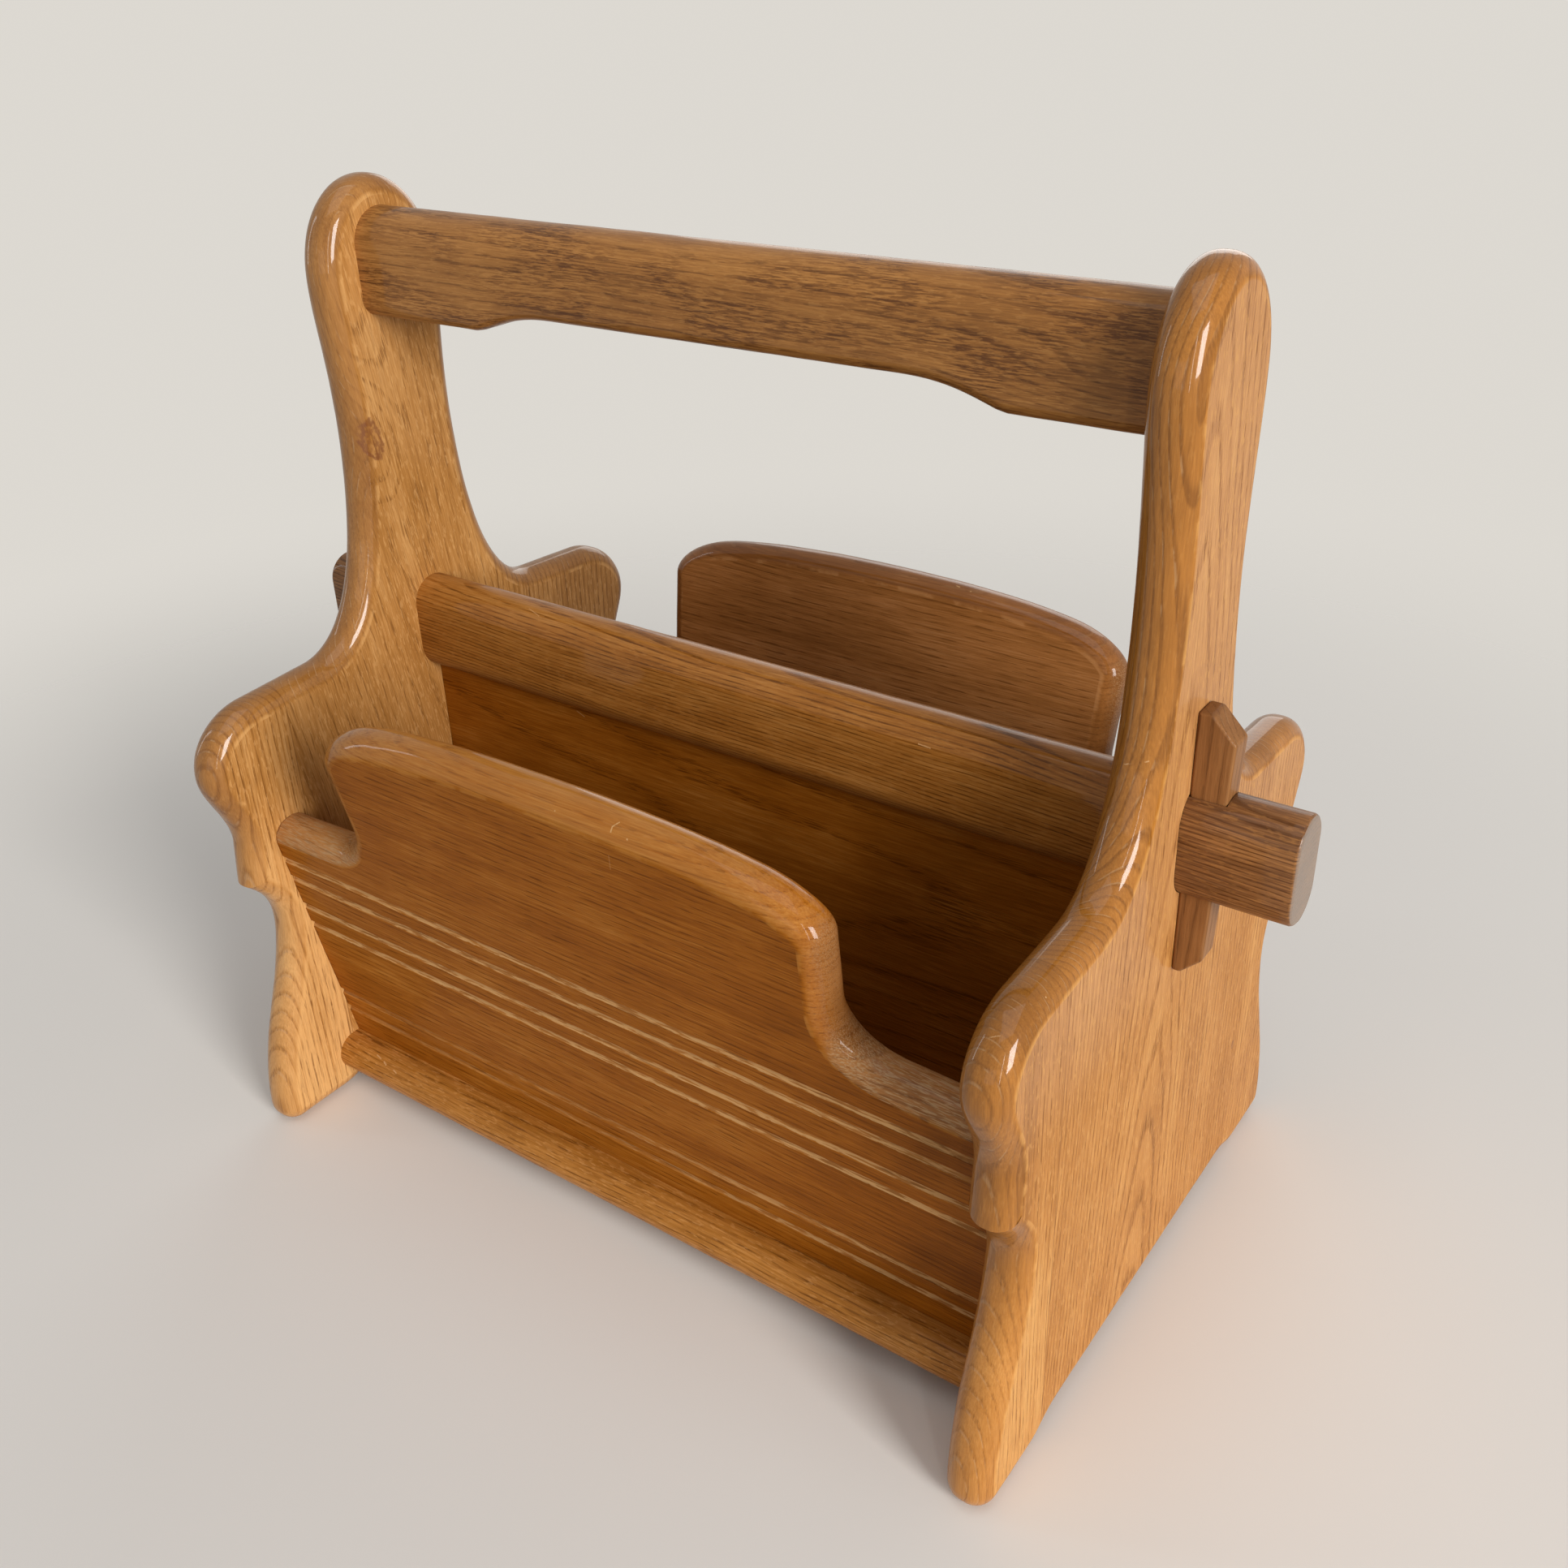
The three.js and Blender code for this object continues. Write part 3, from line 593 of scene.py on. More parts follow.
def groove_cutter(height, seed):
    """A V-shaped cutter with the ragged lips that a router leaves across the grain lines."""
    def wave(x, row, waves, size):
        return noise.noise(Vector((x * waves, seed, row))) * size

    face = TROUGH_THICKNESS / 2
    mouth = GROOVE_WIDTH / 2 * (GROOVE_DEPTH + OVERRUN) / GROOVE_DEPTH
    bm = bmesh.new()
    rings = []
    for x in span(-PANEL_INNER_X - OVERRUN, PANEL_INNER_X + OVERRUN):
        drift = wave(x, 0, *GROOVE_DRIFT)
        upper = wave(x, 5, *GROOVE_UPPER_LIP)
        lower = wave(x, 9, *GROOVE_LOWER_LIP)
        depth = GROOVE_DEPTH * (GROOVE_DEPTH_SHARE + wave(x, 2, *GROOVE_DEPTH_WAVE))
        points = (
            (x, height + drift, face - depth),
            (x, height - mouth + drift + lower, face + OVERRUN),
            (x, height + mouth + drift + upper, face + OVERRUN),
        )
        rings.append([bm.verts.new(p) for p in points])
    join_rings(bm, rings)
    return bm


def trough_board(node, name, arch_extra, is_back, material):
    outline = trough_outline(arch_extra)
    count = len(outline)

    def is_upper_edge(i):
        middle = (outline[i] + outline[(i + 1) % count]) / 2
        return middle.y > 0 and abs(middle.x) < PANEL_INNER_X - FIT_GAP

    radius = (TROUGH_THICKNESS - TROUGH_EDGE_FLAT) / 2
    bm = rounded_board(outline, TROUGH_THICKNESS, radius, is_upper_edge)
    weather(bm, seed=23 + arch_extra)
    turn = Matrix.Rotation(math.pi, 4, "Z") if is_back else Matrix.Identity(4)
    bm.transform(lean_matrix())
    keep_side(bm, (0, 0, floor_high.z), (0, 0, -1))
    bm.transform(turn)
    piece = new_object(name, bm)
    cutters = []
    for k, middle in enumerate(GROOVE_PAIR_HEIGHTS):
        for j, offset in enumerate((-GROOVE_SPACING / 2, GROOVE_SPACING / 2)):
            groove = groove_cutter(middle + offset, seed=31 + 2 * k + j + 7 * is_back)
            groove.transform(turn @ lean_matrix())
            cutters.append(new_object("groove", groove))
    cutters += dowel_pockets("back" if is_back else "front")
    carve(piece, cutters)
    finish_piece(piece, node, "rack", material)


def bottom_board(material):
    half_depth, nose = floor_high.y, (floor_high.z - floor_low.z) / 2
    section = bar_section(half_depth, floor_low.z, floor_high.z, nose, nose)
    bm = loft_along_x([(x, section) for x in span(-PANEL_INNER_X, PANEL_INNER_X)])
    weather(bm, seed=41)
    piece = new_object("bottom", bm)
    carve(piece, dowel_pockets("floor") + [divider_pocket()])
    finish_piece(piece, "bottom_board", "rack", material)


def divider(material):
    half = (divider_high.y - divider_low.y) / 2
    corner = half * DIVIDER_CORNER_SHARE
    section = bar_section(half, divider_low.z, divider_high.z, corner, corner)
    bm = loft_along_x([(x, section) for x in span(divider_low.x, divider_high.x)])
    piece = new_object("divider", bm)
    finish_piece(piece, "divider_panel", "rack", material)


# Materials

class Nodes:
    """Short calls that build a node tree."""

    def __init__(self, tree):
        self.tree = tree
        tree.nodes.clear()

    def add(self, kind, inputs=None, **settings):
        node = self.tree.nodes.new(kind)
        for key, value in settings.items():
            setattr(node, key, value)
        for key, value in (inputs or {}).items():
            socket = node.inputs[key]
            if isinstance(value, bpy.types.NodeSocket):
                self.tree.links.new(value, socket)
            else:
                socket.default_value = (*value, 1) if socket.type == "RGBA" else value
        return node

    def math(self, operation, *values):
        return self.add("ShaderNodeMath", dict(enumerate(values)), operation=operation).outputs[0]

    def total(self, *values, operation="ADD"):
        return reduce(lambda a, b: self.math(operation, a, b), values)

    def product(self, *values):
        return self.total(*values, operation="MULTIPLY")

    def swing(self, value, amount):
        """A noise value turned into a change of up to half the amount either way."""
        return self.math("MULTIPLY", self.math("SUBTRACT", value, 0.5), amount)

    def vector(self, operation, *values):
        node = self.add("ShaderNodeVectorMath", dict(enumerate(values)), operation=operation)
        scalar = operation in ("LENGTH", "DOT_PRODUCT", "DISTANCE")
        return node.outputs["Value" if scalar else "Vector"]

    def scaled(self, vector, factor):
        return self.add("ShaderNodeVectorMath", {0: vector, "Scale": factor}, operation="SCALE").outputs[0]

    def apart(self, vector):
        return self.add("ShaderNodeSeparateXYZ", {0: vector}).outputs

    def noise(self, place, lengths, detail, roughness, output=0):
        """Noise whose blobs are about as long as the lengths, in mm, along each axis."""
        place = self.vector("MULTIPLY", place, tuple(1 / length for length in lengths))
        inputs = {"Vector": place, "Scale": 1, "Detail": detail, "Roughness": roughness}
        return self.add("ShaderNodeTexNoise", inputs).outputs[output]

    def texture(self, place, kind, output=0):
        return self.noise(place, *NOISES[kind][:3], output=output)

    def spots(self, place, kind, start=0.0, end=1.0):
        """The patches of a noise, from start between them to end inside them."""
        return self.window(self.texture(place, kind), *NOISES[kind][3:], start, end)

    def window(self, value, low, high, start=0.0, end=1.0):
        """Smooth step from start to end while the value goes from low to high."""
        inputs = dict(enumerate((value, low, high, start, end)))
        return self.add("ShaderNodeMapRange", inputs, interpolation_type="SMOOTHSTEP").outputs[0]

    def band(self, value, start, full, gone, fading):
        """Rises from start to full and falls again from fading to gone."""
        return self.product(self.window(value, start, full), self.window(value, gone, fading))

    def mix(self, factor, a, b):
        return self.add("ShaderNodeMix", {0: factor, 6: a, 7: b}, data_type="RGBA").outputs[2]

    def ramp(self, value, stops):
        node = self.add("ShaderNodeValToRGB", {0: value})
        elements = node.color_ramp.elements
        while len(elements) < len(stops):
            elements.new(0.5)
        for element, (position, colour) in zip(elements, stops):
            element.position = position
            element.color = (*colour, 1)
        return node.outputs[0]


def new_material(name):
    material = bpy.data.materials.new(name)
    material.use_nodes = True
    return material, Nodes(material.node_tree)


# Linear colours of each finish in thousandths, from its deepest figure to its palest wood, then pores and
# bare wood
TONE_NAMES = ("deep", "mid", "light", "pale", "pore", "bare")
TONE_STOPS = (("deep", 0.05), ("mid", 0.42), ("light", 0.62), ("pale", 0.95))


def palette(*colours):
    return {name: tuple(part / 1000 for part in colour) for name, colour in zip(TONE_NAMES, colours)}


PANEL_TONES = palette(
    (255, 100, 20), (425, 188, 46), (520, 250, 74), (680, 370, 135), (150, 54, 11), (780, 520, 280),
)
WARM_PANEL_TONES = palette(
    (250, 90, 12), (430, 168, 28), (520, 222, 48), (670, 340, 100), (150, 50, 6), (780, 500, 250),
)
BOARD_TONES = palette(
    (175, 48, 2), (298, 88, 6), (370, 120, 11), (500, 205, 38), (105, 26, 1), (640, 370, 150),
)
BOTTOM_TONES = palette(
    (220, 72, 8), (385, 148, 22), (480, 200, 40), (620, 300, 90), (120, 36, 4), (780, 500, 250),
)
RAIL_TONES = palette(
    (135, 44, 5), (325, 115, 17), (405, 160, 30), (520, 235, 62), (85, 26, 3), (660, 360, 150),
)
HANDLE_TONES = palette(
    (135, 50, 15), (345, 144, 36), (445, 198, 52), (560, 270, 80), (90, 33, 10), (660, 380, 170),
)
KEY_TONES = palette(
    (140, 56, 18), (250, 106, 34), (310, 138, 46), (420, 200, 72), (85, 32, 10), (600, 360, 170),
)
BACK_BOARD_TONES = palette(
    (215, 74, 16), (365, 142, 36), (455, 185, 54), (540, 255, 92), (130, 44, 8), (640, 370, 150),
)
KNOT_BROWN = (0.190, 0.062, 0.022)
WORN_AND_PAINTED_LIGHT_DEEP = (0.115, 0.050, 0.022)
WORN_AND_PAINTED_LIGHT_PALE = (0.450, 0.212, 0.078)
HANDLED_FLECKS = (0.470, 0.290, 0.140)
PAINTED_REFLECTION_GREY = (0.590, 0.380, 0.250)

# Noise in the wood: the size of its blobs in mm along, across and into the grain, its detail, its roughness,
# and for patches the values between which they come up
NOISES = {
    "slow drift": ((210, 46, 46), 2, 0.5),
    "quick drift": ((40, 9, 9), 2, 0.5),
    "pores": ((15, 0.70, 0.70), 1, 0.5, 0.53, 0.585),
    "fine pores": ((7, 0.40, 0.40), 1, 0.5, 0.56, 0.63),
    "streaks": ((26, 0.62, 0.62), 2, 0.6),
    "fibres": ((60, 2.2, 2.2), 2, 0.6),
    "bands": ((300, 14, 24), 2, 0.5),
    "clouds": ((42, 24, 24), 3, 0.5),
    "tick patches": ((50, 16, 30), 3, 0.5, 0.42, 0.60),
    "ticks": ((8, 0.65, 0.65), 3, 0.6, 0.46, 0.55),
    "handled flecks": ((6, 0.5, 0.5), 3, 0.5, 0.46, 0.62),
    "flakes": ((5, 1.1, 1.1), 2, 0.5, 0.57, 0.64),
    "arc patches": ((9, 6, 6), 3, 0.5, 0.46, 0.60),
    "rubbed patches": ((13, 13, 13), 4, 0.5, 0.46, 0.58),
    "joint teeth": ((3, 3.2, 3.2), 2, 0.5),
    "knot border": ((5, 4, 5), 4, 0.5),
    "knot mottle": ((2.4, 1.6, 1.6), 3, 0.5, 0.40, 0.58),
    "groove lips": ((4, 0.8, 0.8), 4, 0.75),
    "groove tears": ((11, 0.8, 0.8), 3, 0.5, 0.42, 0.56),
    "smudges": ((38, 38, 38), 3, 0.5),
    "brush marks": ((5, 5, 5), 1, 0.5),
}
SEED_STEPS = (171.3, 57.1, 91.7)
SEED_RING_STEP = 13.0

# Tone, where 0 is the deepest figure and 1 the palest wood
BASE_TONE = 0.54
CLOUD_SWING = 0.45
FIBRE_SHARE = 0.4

# The edge attribute is 0 on a flat face and 1 at the outline; grain is calmer where it rises
EDGE_RISE = (0.05, 0.32)
EDGE_STREAKS = 0.65
EDGE_PORES = 0.55
EDGE_FLAKES = 0.2

# Knots and grooves, in mm
KNOT_FLATNESS = 1.7
KNOT_AMOUNT = 0.6
GROOVE_HALF_WIDTHS = (3.7, 3.0)
GROOVE_FRAYING = 2.6
FAINT_GROOVE_HEIGHTS = (85.0, 110.0)
FAINT_GROOVE_RUN = (-80.0, 140.0, 0.3, 0.8)
GROOVE_AMOUNT = 0.8

# Satin varnish
BASE_ROUGHNESS = 0.34
SMUDGE_ROUGHNESS = 0.16
PORE_ROUGHNESS = 0.12
GROOVE_ROUGHNESS = 0.25
COAT_ROUGHNESS = 0.075
COAT_WORN_OFF = 0.6
RELIEF_STRENGTH = 0.35
RELIEF_DEPTH = 0.0002

# Which row axis runs along the grain, across the board and into its depth
UPRIGHT = ("Z", "Y", "X")
LENGTHWISE = ("X", "Z", "Y")


def grain_space(n, axes, lean):
    """Place in mm along the grain, across the board and into its depth, and the same for the normal."""
    coordinates = n.add("ShaderNodeTexCoord")
    spaces = []
    for output, scale in (("Object", 1 / MM), ("Normal", 1)):
        turned = n.add("ShaderNodeMapping", {
            "Vector": coordinates.outputs[output], "Rotation": (lean, 0, 0), "Scale": (scale, scale, scale),
        })
        row = n.apart(turned.outputs[0])
        along_grain = {name: row[axis] for name, axis in zip("XYZ", axes)}
        spaces.append(n.add("ShaderNodeCombineXYZ", along_grain).outputs[0])
    return spaces[0], spaces[1], n.scaled(coordinates.outputs["Object"], 1 / MM)


def segment_mask(n, place, start, end, radius):
    """1 within a radius of the line between two places in mm, with a ragged border."""
    start, end = Vector(start), Vector(end)
    run = end - start
    offset = n.vector("SUBTRACT", place, tuple(start))
    along = n.vector("DOT_PRODUCT", offset, tuple(run / max(run.length_squared, 1e-9)))
    along = n.math("MINIMUM", n.math("MAXIMUM", along, 0.0), 1.0)
    distance = n.vector("DISTANCE", offset, n.scaled(tuple(run), along))
    ragged = n.noise(place, (radius, radius, radius), detail=3, roughness=0.5)
    return n.window(n.total(distance, n.product(ragged, radius * 1.2)), radius * 1.5, radius * 0.9)


def bulge(n, place, along, across, length, width):
    """A smooth hill, 1 at its top, over one place on the board."""
    offset = n.vector("SUBTRACT", place, (along, across, 0))
    spread = n.vector("MULTIPLY", offset, (1 / length, 1 / width, 0))
    return n.math("EXPONENT", n.product(n.vector("DOT_PRODUCT", spread, spread), -1.0))


# A common board's growth, figure, tone, traces of use, painted light and varnish. Lengths are in mm, the pith
# is the tree's centre across the board and into its depth, and most others are strengths.
COMMON_LOOK = dict(
    ring=3.2, pith=(10, 62), taper=0.02, wander=9.0, ripple=0.8, lean=0.0, swells=(),
    streaks=0.5, bands=0.5, rings=0.15, dashes=0.4, flecks=0.0, flakes=0.0, arcs=0.16,
    tone=0.0, edge_tone=0.0, end_tone=None, fades=(), faded=(), handled=(),
    knots=(), marks=(), glue=(), chewed_ends=0.0, grooves=(), groove_face=0.0,
    ior=1.15, coat=0.16, edge_coat=0.45,
)


class Oak:
    """Varnished oak whose figure follows one board's grain."""

    def __init__(self, name, tones, axes, seed, changes):
        self.material, self.n = new_material(name)
        self.tones = tones
        self.look = look = SimpleNamespace(**dict(COMMON_LOOK, **changes))
        self.place, self.normal, self.row_place = grain_space(self.n, axes, look.lean)
        self.edge = self.n.add("ShaderNodeAttribute", attribute_name="edge").outputs["Fac"]
        self.reached = self.hollow = 0.0
        self.grow(seed)
        self.colour_figure()
        self.wear_edges()
        self.mark_joints()
        self.add_knots()
        for start, end, radius, strength in look.marks:
            self.lay(tones["bare"], segment_mask(self.n, self.row_place, start, end, radius), strength)
        self.bare_grooves()
        self.varnish()

    def lay(self, colour, *factors):
        """Mixes a colour over what is there."""
        self.colour = self.n.mix(self.n.product(*factors), self.colour, colour)

    def grow(self, seed):
        """Rings about the pith, pushed about by noise, swells and knots, with pores along them."""
        n, look = self.n, self.look
        shift = tuple(seed * step for step in SEED_STEPS)
        self.seeded = n.vector("ADD", self.place, shift)
        warped = self.place
        for kind, amount in (("slow drift", look.wander), ("quick drift", look.ripple)):
            drift = n.vector("SUBTRACT", n.texture(self.seeded, kind, output=1), (0.5, 0.5, 0.5))
            warped = n.vector("ADD", warped, n.vector("MULTIPLY", drift, (0, amount, amount)))
        self.flow = n.vector("ADD", warped, shift)

        along, across, depth = n.apart(warped)
        offsets = [n.math("SUBTRACT", a, float(b)) for a, b in zip((across, depth), look.pith)]
        radius = n.math("SQRT", n.total(*(n.product(a, a) for a in offsets)))
        radius = n.total(radius, n.product(along, look.taper))
        for *hill, height in look.swells:
            radius = n.total(radius, n.product(bulge(n, self.place, *hill), height))
        for knot_along, knot_across, size in look.knots:
            swirl = bulge(n, self.place, knot_along, knot_across, size * 3.6, size * 1.6)
            radius = n.total(radius, n.product(swirl, size * 1.5))
        phase = n.math("DIVIDE", radius, look.ring)
        self.ring_share = n.math("FRACT", phase)
        ring_number = n.total(n.math("FLOOR", phase), seed * SEED_RING_STEP)
        chance = n.add("ShaderNodeTexWhiteNoise", {"W": ring_number}, noise_dimensions="1D")
        self.ring_chance = chance.outputs[0]

        # Early wood, in the first part of each ring, has most of the pores
        self.early = n.band(self.ring_share, 0.0, 0.08, 0.42, 0.16)
        self.pores = n.product(n.spots(self.flow, "pores"), n.total(n.product(self.early, 0.75), 0.25))
        fine_share = n.total(n.product(self.early, 0.5), 0.5)
        self.fine_pores = n.product(n.spots(self.flow, "fine pores"), fine_share)
        self.streaks = n.texture(self.flow, "streaks")

    def on_edge(self, amount, flat=1.0):
        """From its value on flat faces to another on the rounded edges."""
        return self.n.window(self.edge, *EDGE_RISE, flat, amount)

    def tone_level(self):
        n, look = self.n, self.look
        fibres = n.swing(n.texture(self.flow, "fibres"), look.streaks * FIBRE_SHARE)
        level = n.total(n.swing(self.streaks, look.streaks), fibres)
        level = n.product(level, self.on_edge(EDGE_STREAKS))
        bands = n.swing(n.texture(self.seeded, "bands"), look.bands)
        clouds = n.swing(n.texture(self.seeded, "clouds"), CLOUD_SWING)
        level = n.total(level, bands, clouds, BASE_TONE + look.tone)
        level = n.total(level, n.swing(self.ring_chance, look.rings * 0.5))
        level = n.total(level, n.product(self.early, -look.rings))
        level = n.total(level, self.on_edge(look.edge_tone, flat=0.0))
        # Tone that ramps along the grain; on the front board a painted shadow of the right panel, on the
        # rail's tenons painted light.
        for first, last, amount in look.fades:
            level = n.total(level, n.window(n.apart(self.place)[0], first, last, 0.0, amount))
        if look.flecks:
            patches = n.spots(self.seeded, "tick patches", start=0.15)
            level = n.math("SUBTRACT", level, n.product(n.spots(self.flow, "ticks"), patches, look.flecks))
        return level

    def colour_figure(self):
        n, look, tones = self.n, self.look, self.tones
        level = self.tone_level()
        self.colour = n.ramp(level, [(stop, tones[name]) for name, stop in TONE_STOPS])
        # Darker, greyer ends: handling wear in the boards' hollows, painted light on the rail's tenons
        # outside the panels.
        if look.handled:
            beyond, least_edge, amount, fleck_amount = look.handled
            self.reached = n.window(n.math("ABSOLUTE", n.apart(self.place)[0]), beyond, beyond + 6)
            if least_edge:
                on_edge = n.window(self.edge, least_edge * 0.8, least_edge * 1.2)
                self.reached = n.product(self.reached, on_edge)
            self.lay(n.mix(n.window(level, 0.2, 0.9), WORN_AND_PAINTED_LIGHT_DEEP, WORN_AND_PAINTED_LIGHT_PALE), self.reached, amount)
            self.lay(HANDLED_FLECKS, self.reached, n.spots(self.flow, "handled flecks"), fleck_amount)
        # A painted grey reflection of a pale wall on the flat faces, rising between two heights.
        if look.faded:
            low, high, amount = look.faded
            height = n.window(n.apart(self.row_place)["Z"], low, high)
            self.lay(PAINTED_REFLECTION_GREY, height, n.window(self.edge, 0.15, 0.02), amount)
        self.lay(tones["pore"], self.pores, self.on_edge(EDGE_PORES), look.dashes)
        self.lay(tones["pore"], self.fine_pores, self.on_edge(EDGE_PORES), look.dashes * 0.5)
        if look.flakes:
            self.lay(tones["pale"], n.spots(self.flow, "flakes"), self.on_edge(EDGE_FLAKES), look.flakes)

    def wear_edges(self):
        """Where the grain comes out, rings draw pale arcs, and rubbing leaves pale patches."""
        n, look, tones = self.n, self.look, self.tones
        endness = n.math("ABSOLUTE", n.apart(self.normal)[0])
        # End grain is darker; the rail's own end colour is a painted grey reflection.
        end_tone, amount = (look.end_tone, 0.75) if look.end_tone else (tones["deep"], 0.40)
        self.lay(end_tone, n.window(endness, 0.45, 0.90), amount)
        line = n.band(self.ring_share, 0.0, 0.06, 0.22, 0.10)
        shown = n.math("MAXIMUM", n.window(endness, 0.10, 0.45), n.window(self.edge, 0.55, 0.85))
        self.lay(tones["bare"], line, shown, n.spots(self.seeded, "arc patches"), look.arcs)
        border = n.band(self.edge, 0.01, 0.05, 0.34, 0.12)
        self.lay(tones["pale"], border, n.spots(self.row_place, "rubbed patches"), 0.5)

    def mark_joints(self):
        n, look, pore = self.n, self.look, self.tones["pore"]
        x, y, _ = n.apart(self.row_place)
        if look.chewed_ends:
            teeth = n.product(n.texture(self.row_place, "joint teeth"), 5.0)
            joint = n.window(n.total(n.math("ABSOLUTE", x), teeth), 191.6, 192.2)
            self.lay(pore, joint, look.chewed_ends)
        for seam in look.glue:
            near = n.math("ABSOLUTE", n.math("SUBTRACT", y, seam / MM))
            self.lay(pore, n.window(near, 0.45, 0.15), 0.45)

    def add_knots(self):
        n = self.n
        for along, across, size in self.look.knots:
            offset = n.vector("SUBTRACT", self.place, (along, across, 0))
            offset = n.vector("MULTIPLY", offset, (1 / size, KNOT_FLATNESS / size, 0))
            ragged = n.product(n.texture(self.place, "knot border"), 1.3)
            reach = n.total(n.vector("LENGTH", offset), ragged)
            mottle = n.spots(self.place, "knot mottle", 1.0, 0.2)
            self.lay(KNOT_BROWN, n.window(reach, 1.9, 1.5), mottle, KNOT_AMOUNT)
            self.lay(KNOT_BROWN, n.band(reach, 1.35, 1.5, 1.8, 1.65), KNOT_AMOUNT)

    def bare_grooves(self):
        """Torn paler wood in the routed grooves, fainter at one end of the lowest pair."""
        n, look = self.n, self.look
        if not look.grooves:
            return
        along, across, depth = n.apart(self.place)
        below = n.math("SUBTRACT", look.groove_face, n.math("ABSOLUTE", depth))
        frayed = n.product(n.texture(self.place, "groove lips"), GROOVE_FRAYING)
        lines = 0.0
        for height in look.grooves:
            near = n.total(n.math("ABSOLUTE", n.math("SUBTRACT", across, height)), frayed)
            lines = n.math("ADD", n.window(near, *GROOVE_HALF_WIDTHS), lines)
        strength = n.window(along, *FAINT_GROOVE_RUN)
        strength = n.math("MAXIMUM", n.window(across, *FAINT_GROOVE_HEIGHTS), strength)
        self.hollow = n.product(n.band(below, 0.02, 0.25, 3.0, 2.5), lines, strength)
        torn = n.spots(self.place, "groove tears", start=0.28)
        self.lay(self.tones["bare"], self.hollow, torn, GROOVE_AMOUNT)

    def varnish(self):
        n, look = self.n, self.look
        rough = n.product(n.texture(self.row_place, "smudges"), SMUDGE_ROUGHNESS)
        rough = n.total(rough, n.product(self.pores, PORE_ROUGHNESS))
        rough = n.total(rough, n.product(self.hollow, GROOVE_ROUGHNESS), BASE_ROUGHNESS)
        relief = n.total(n.product(self.pores, -0.6), n.product(self.fine_pores, -0.3))
        relief = n.total(relief, n.product(self.streaks, 0.25))
        relief = n.total(relief, n.product(n.texture(self.row_place, "brush marks"), 0.35))
        bump = n.add("ShaderNodeBump", {
            "Height": relief, "Strength": RELIEF_STRENGTH, "Distance": RELIEF_DEPTH,
        })
        whole = n.math("SUBTRACT", 1.0, n.product(self.reached, COAT_WORN_OFF))
        on_edge = n.product(n.window(self.edge, 0.15, 0.5), whole, look.edge_coat)
        shader = n.add("ShaderNodeBsdfPrincipled", {
            "Base Color": self.colour, "Roughness": rough, "Normal": bump.outputs[0], "IOR": look.ior,
            "Coat Weight": n.total(on_edge, look.coat), "Coat Roughness": COAT_ROUGHNESS,
        })
        n.add("ShaderNodeOutputMaterial", {"Surface": shader.outputs[0]})


def oak(name, tones, axes, seed, **changes):
    return Oak(name, tones, axes, seed, changes).material


# Assembly

PLAIN = dict(
    dashes=0.55, rings=0.12, streaks=0.7, edge_tone=-0.27, flakes=0.4, arcs=0.2,
    glue=(FRONT_SEAM_Y, BACK_SEAM_Y),
)
RIFT = dict(PLAIN, ring=3.4, dashes=0.65, rings=0.22, wander=4.0)
QUIET = dict(
    dashes=0.6, rings=0.08, streaks=0.85, wander=5.0, ripple=0.5, arcs=0.10, edge_tone=0.27,
    ior=1.09, coat=0.05, handled=(124, 0.12, 0.7, 0.75),
)

left_staves = [
    oak("left_front_oak", PANEL_TONES, UPRIGHT, seed=1, pith=(-330, -130), fades=((190, 110, 0.42),), **RIFT),
    oak("left_middle_oak", PANEL_TONES, UPRIGHT, seed=2, pith=(30, -148), taper=-0.045, lean=-0.15,
        knots=((328, 26, 9),), **dict(PLAIN, rings=0.05)),
    oak("left_back_oak", PANEL_TONES, UPRIGHT, seed=3, pith=(360, -90), **RIFT),
]
# From 150 mm up to full at 215 mm, the right staves' flat faces carry a painted grey reflection of a pale
# wall.
right_staves = [
    oak("right_front_oak", WARM_PANEL_TONES, UPRIGHT, seed=4, ring=2.8, pith=(-420, 150), tone=-0.06,
        fades=((150, 60, 0.28),), faded=(150, 215, 0.2), marks=(
            ((201.5, -93.8, 230.5), (209.1, -90.6, 225.6), 1.1, 0.6),
            ((198.2, -132.9, 220.8), (201.5, -131.5, 221.9), 0.35, 0.6),
            ((207.3, -111.4, 226.9), (207.3, -111.2, 226.7), 0.5, 0.8),
        ), **PLAIN),
    oak("right_middle_oak", WARM_PANEL_TONES, UPRIGHT, seed=5, pith=(-15, 168), taper=0.055, tone=0.04,
        faded=(150, 215, 0.2), marks=(((197, -37.6, 275.7), (205.1, -36, 278.5), 0.4, 0.45),),
        **dict(PLAIN, ring=2.6, rings=0.22, bands=0.3)),
    oak("right_back_oak", WARM_PANEL_TONES, UPRIGHT, seed=6, pith=(320, 90),
        faded=(150, 215, 0.2), knots=((75, 86, 2.4),), **PLAIN),
]
end_panel(-1, "left_panel", left_staves)
end_panel(1, "right_panel", right_staves)
handle_bar(oak(
    "handle_oak", HANDLE_TONES, LENGTHWISE, seed=7, ring=4.5, pith=(330, 0), flecks=0.34, dashes=0.5,
    rings=0.12, streaks=0.5, coat=0.3, flakes=0.25, swells=((178, 398, 48, 15, 16),),
    fades=((90, 190, -0.12),),
))
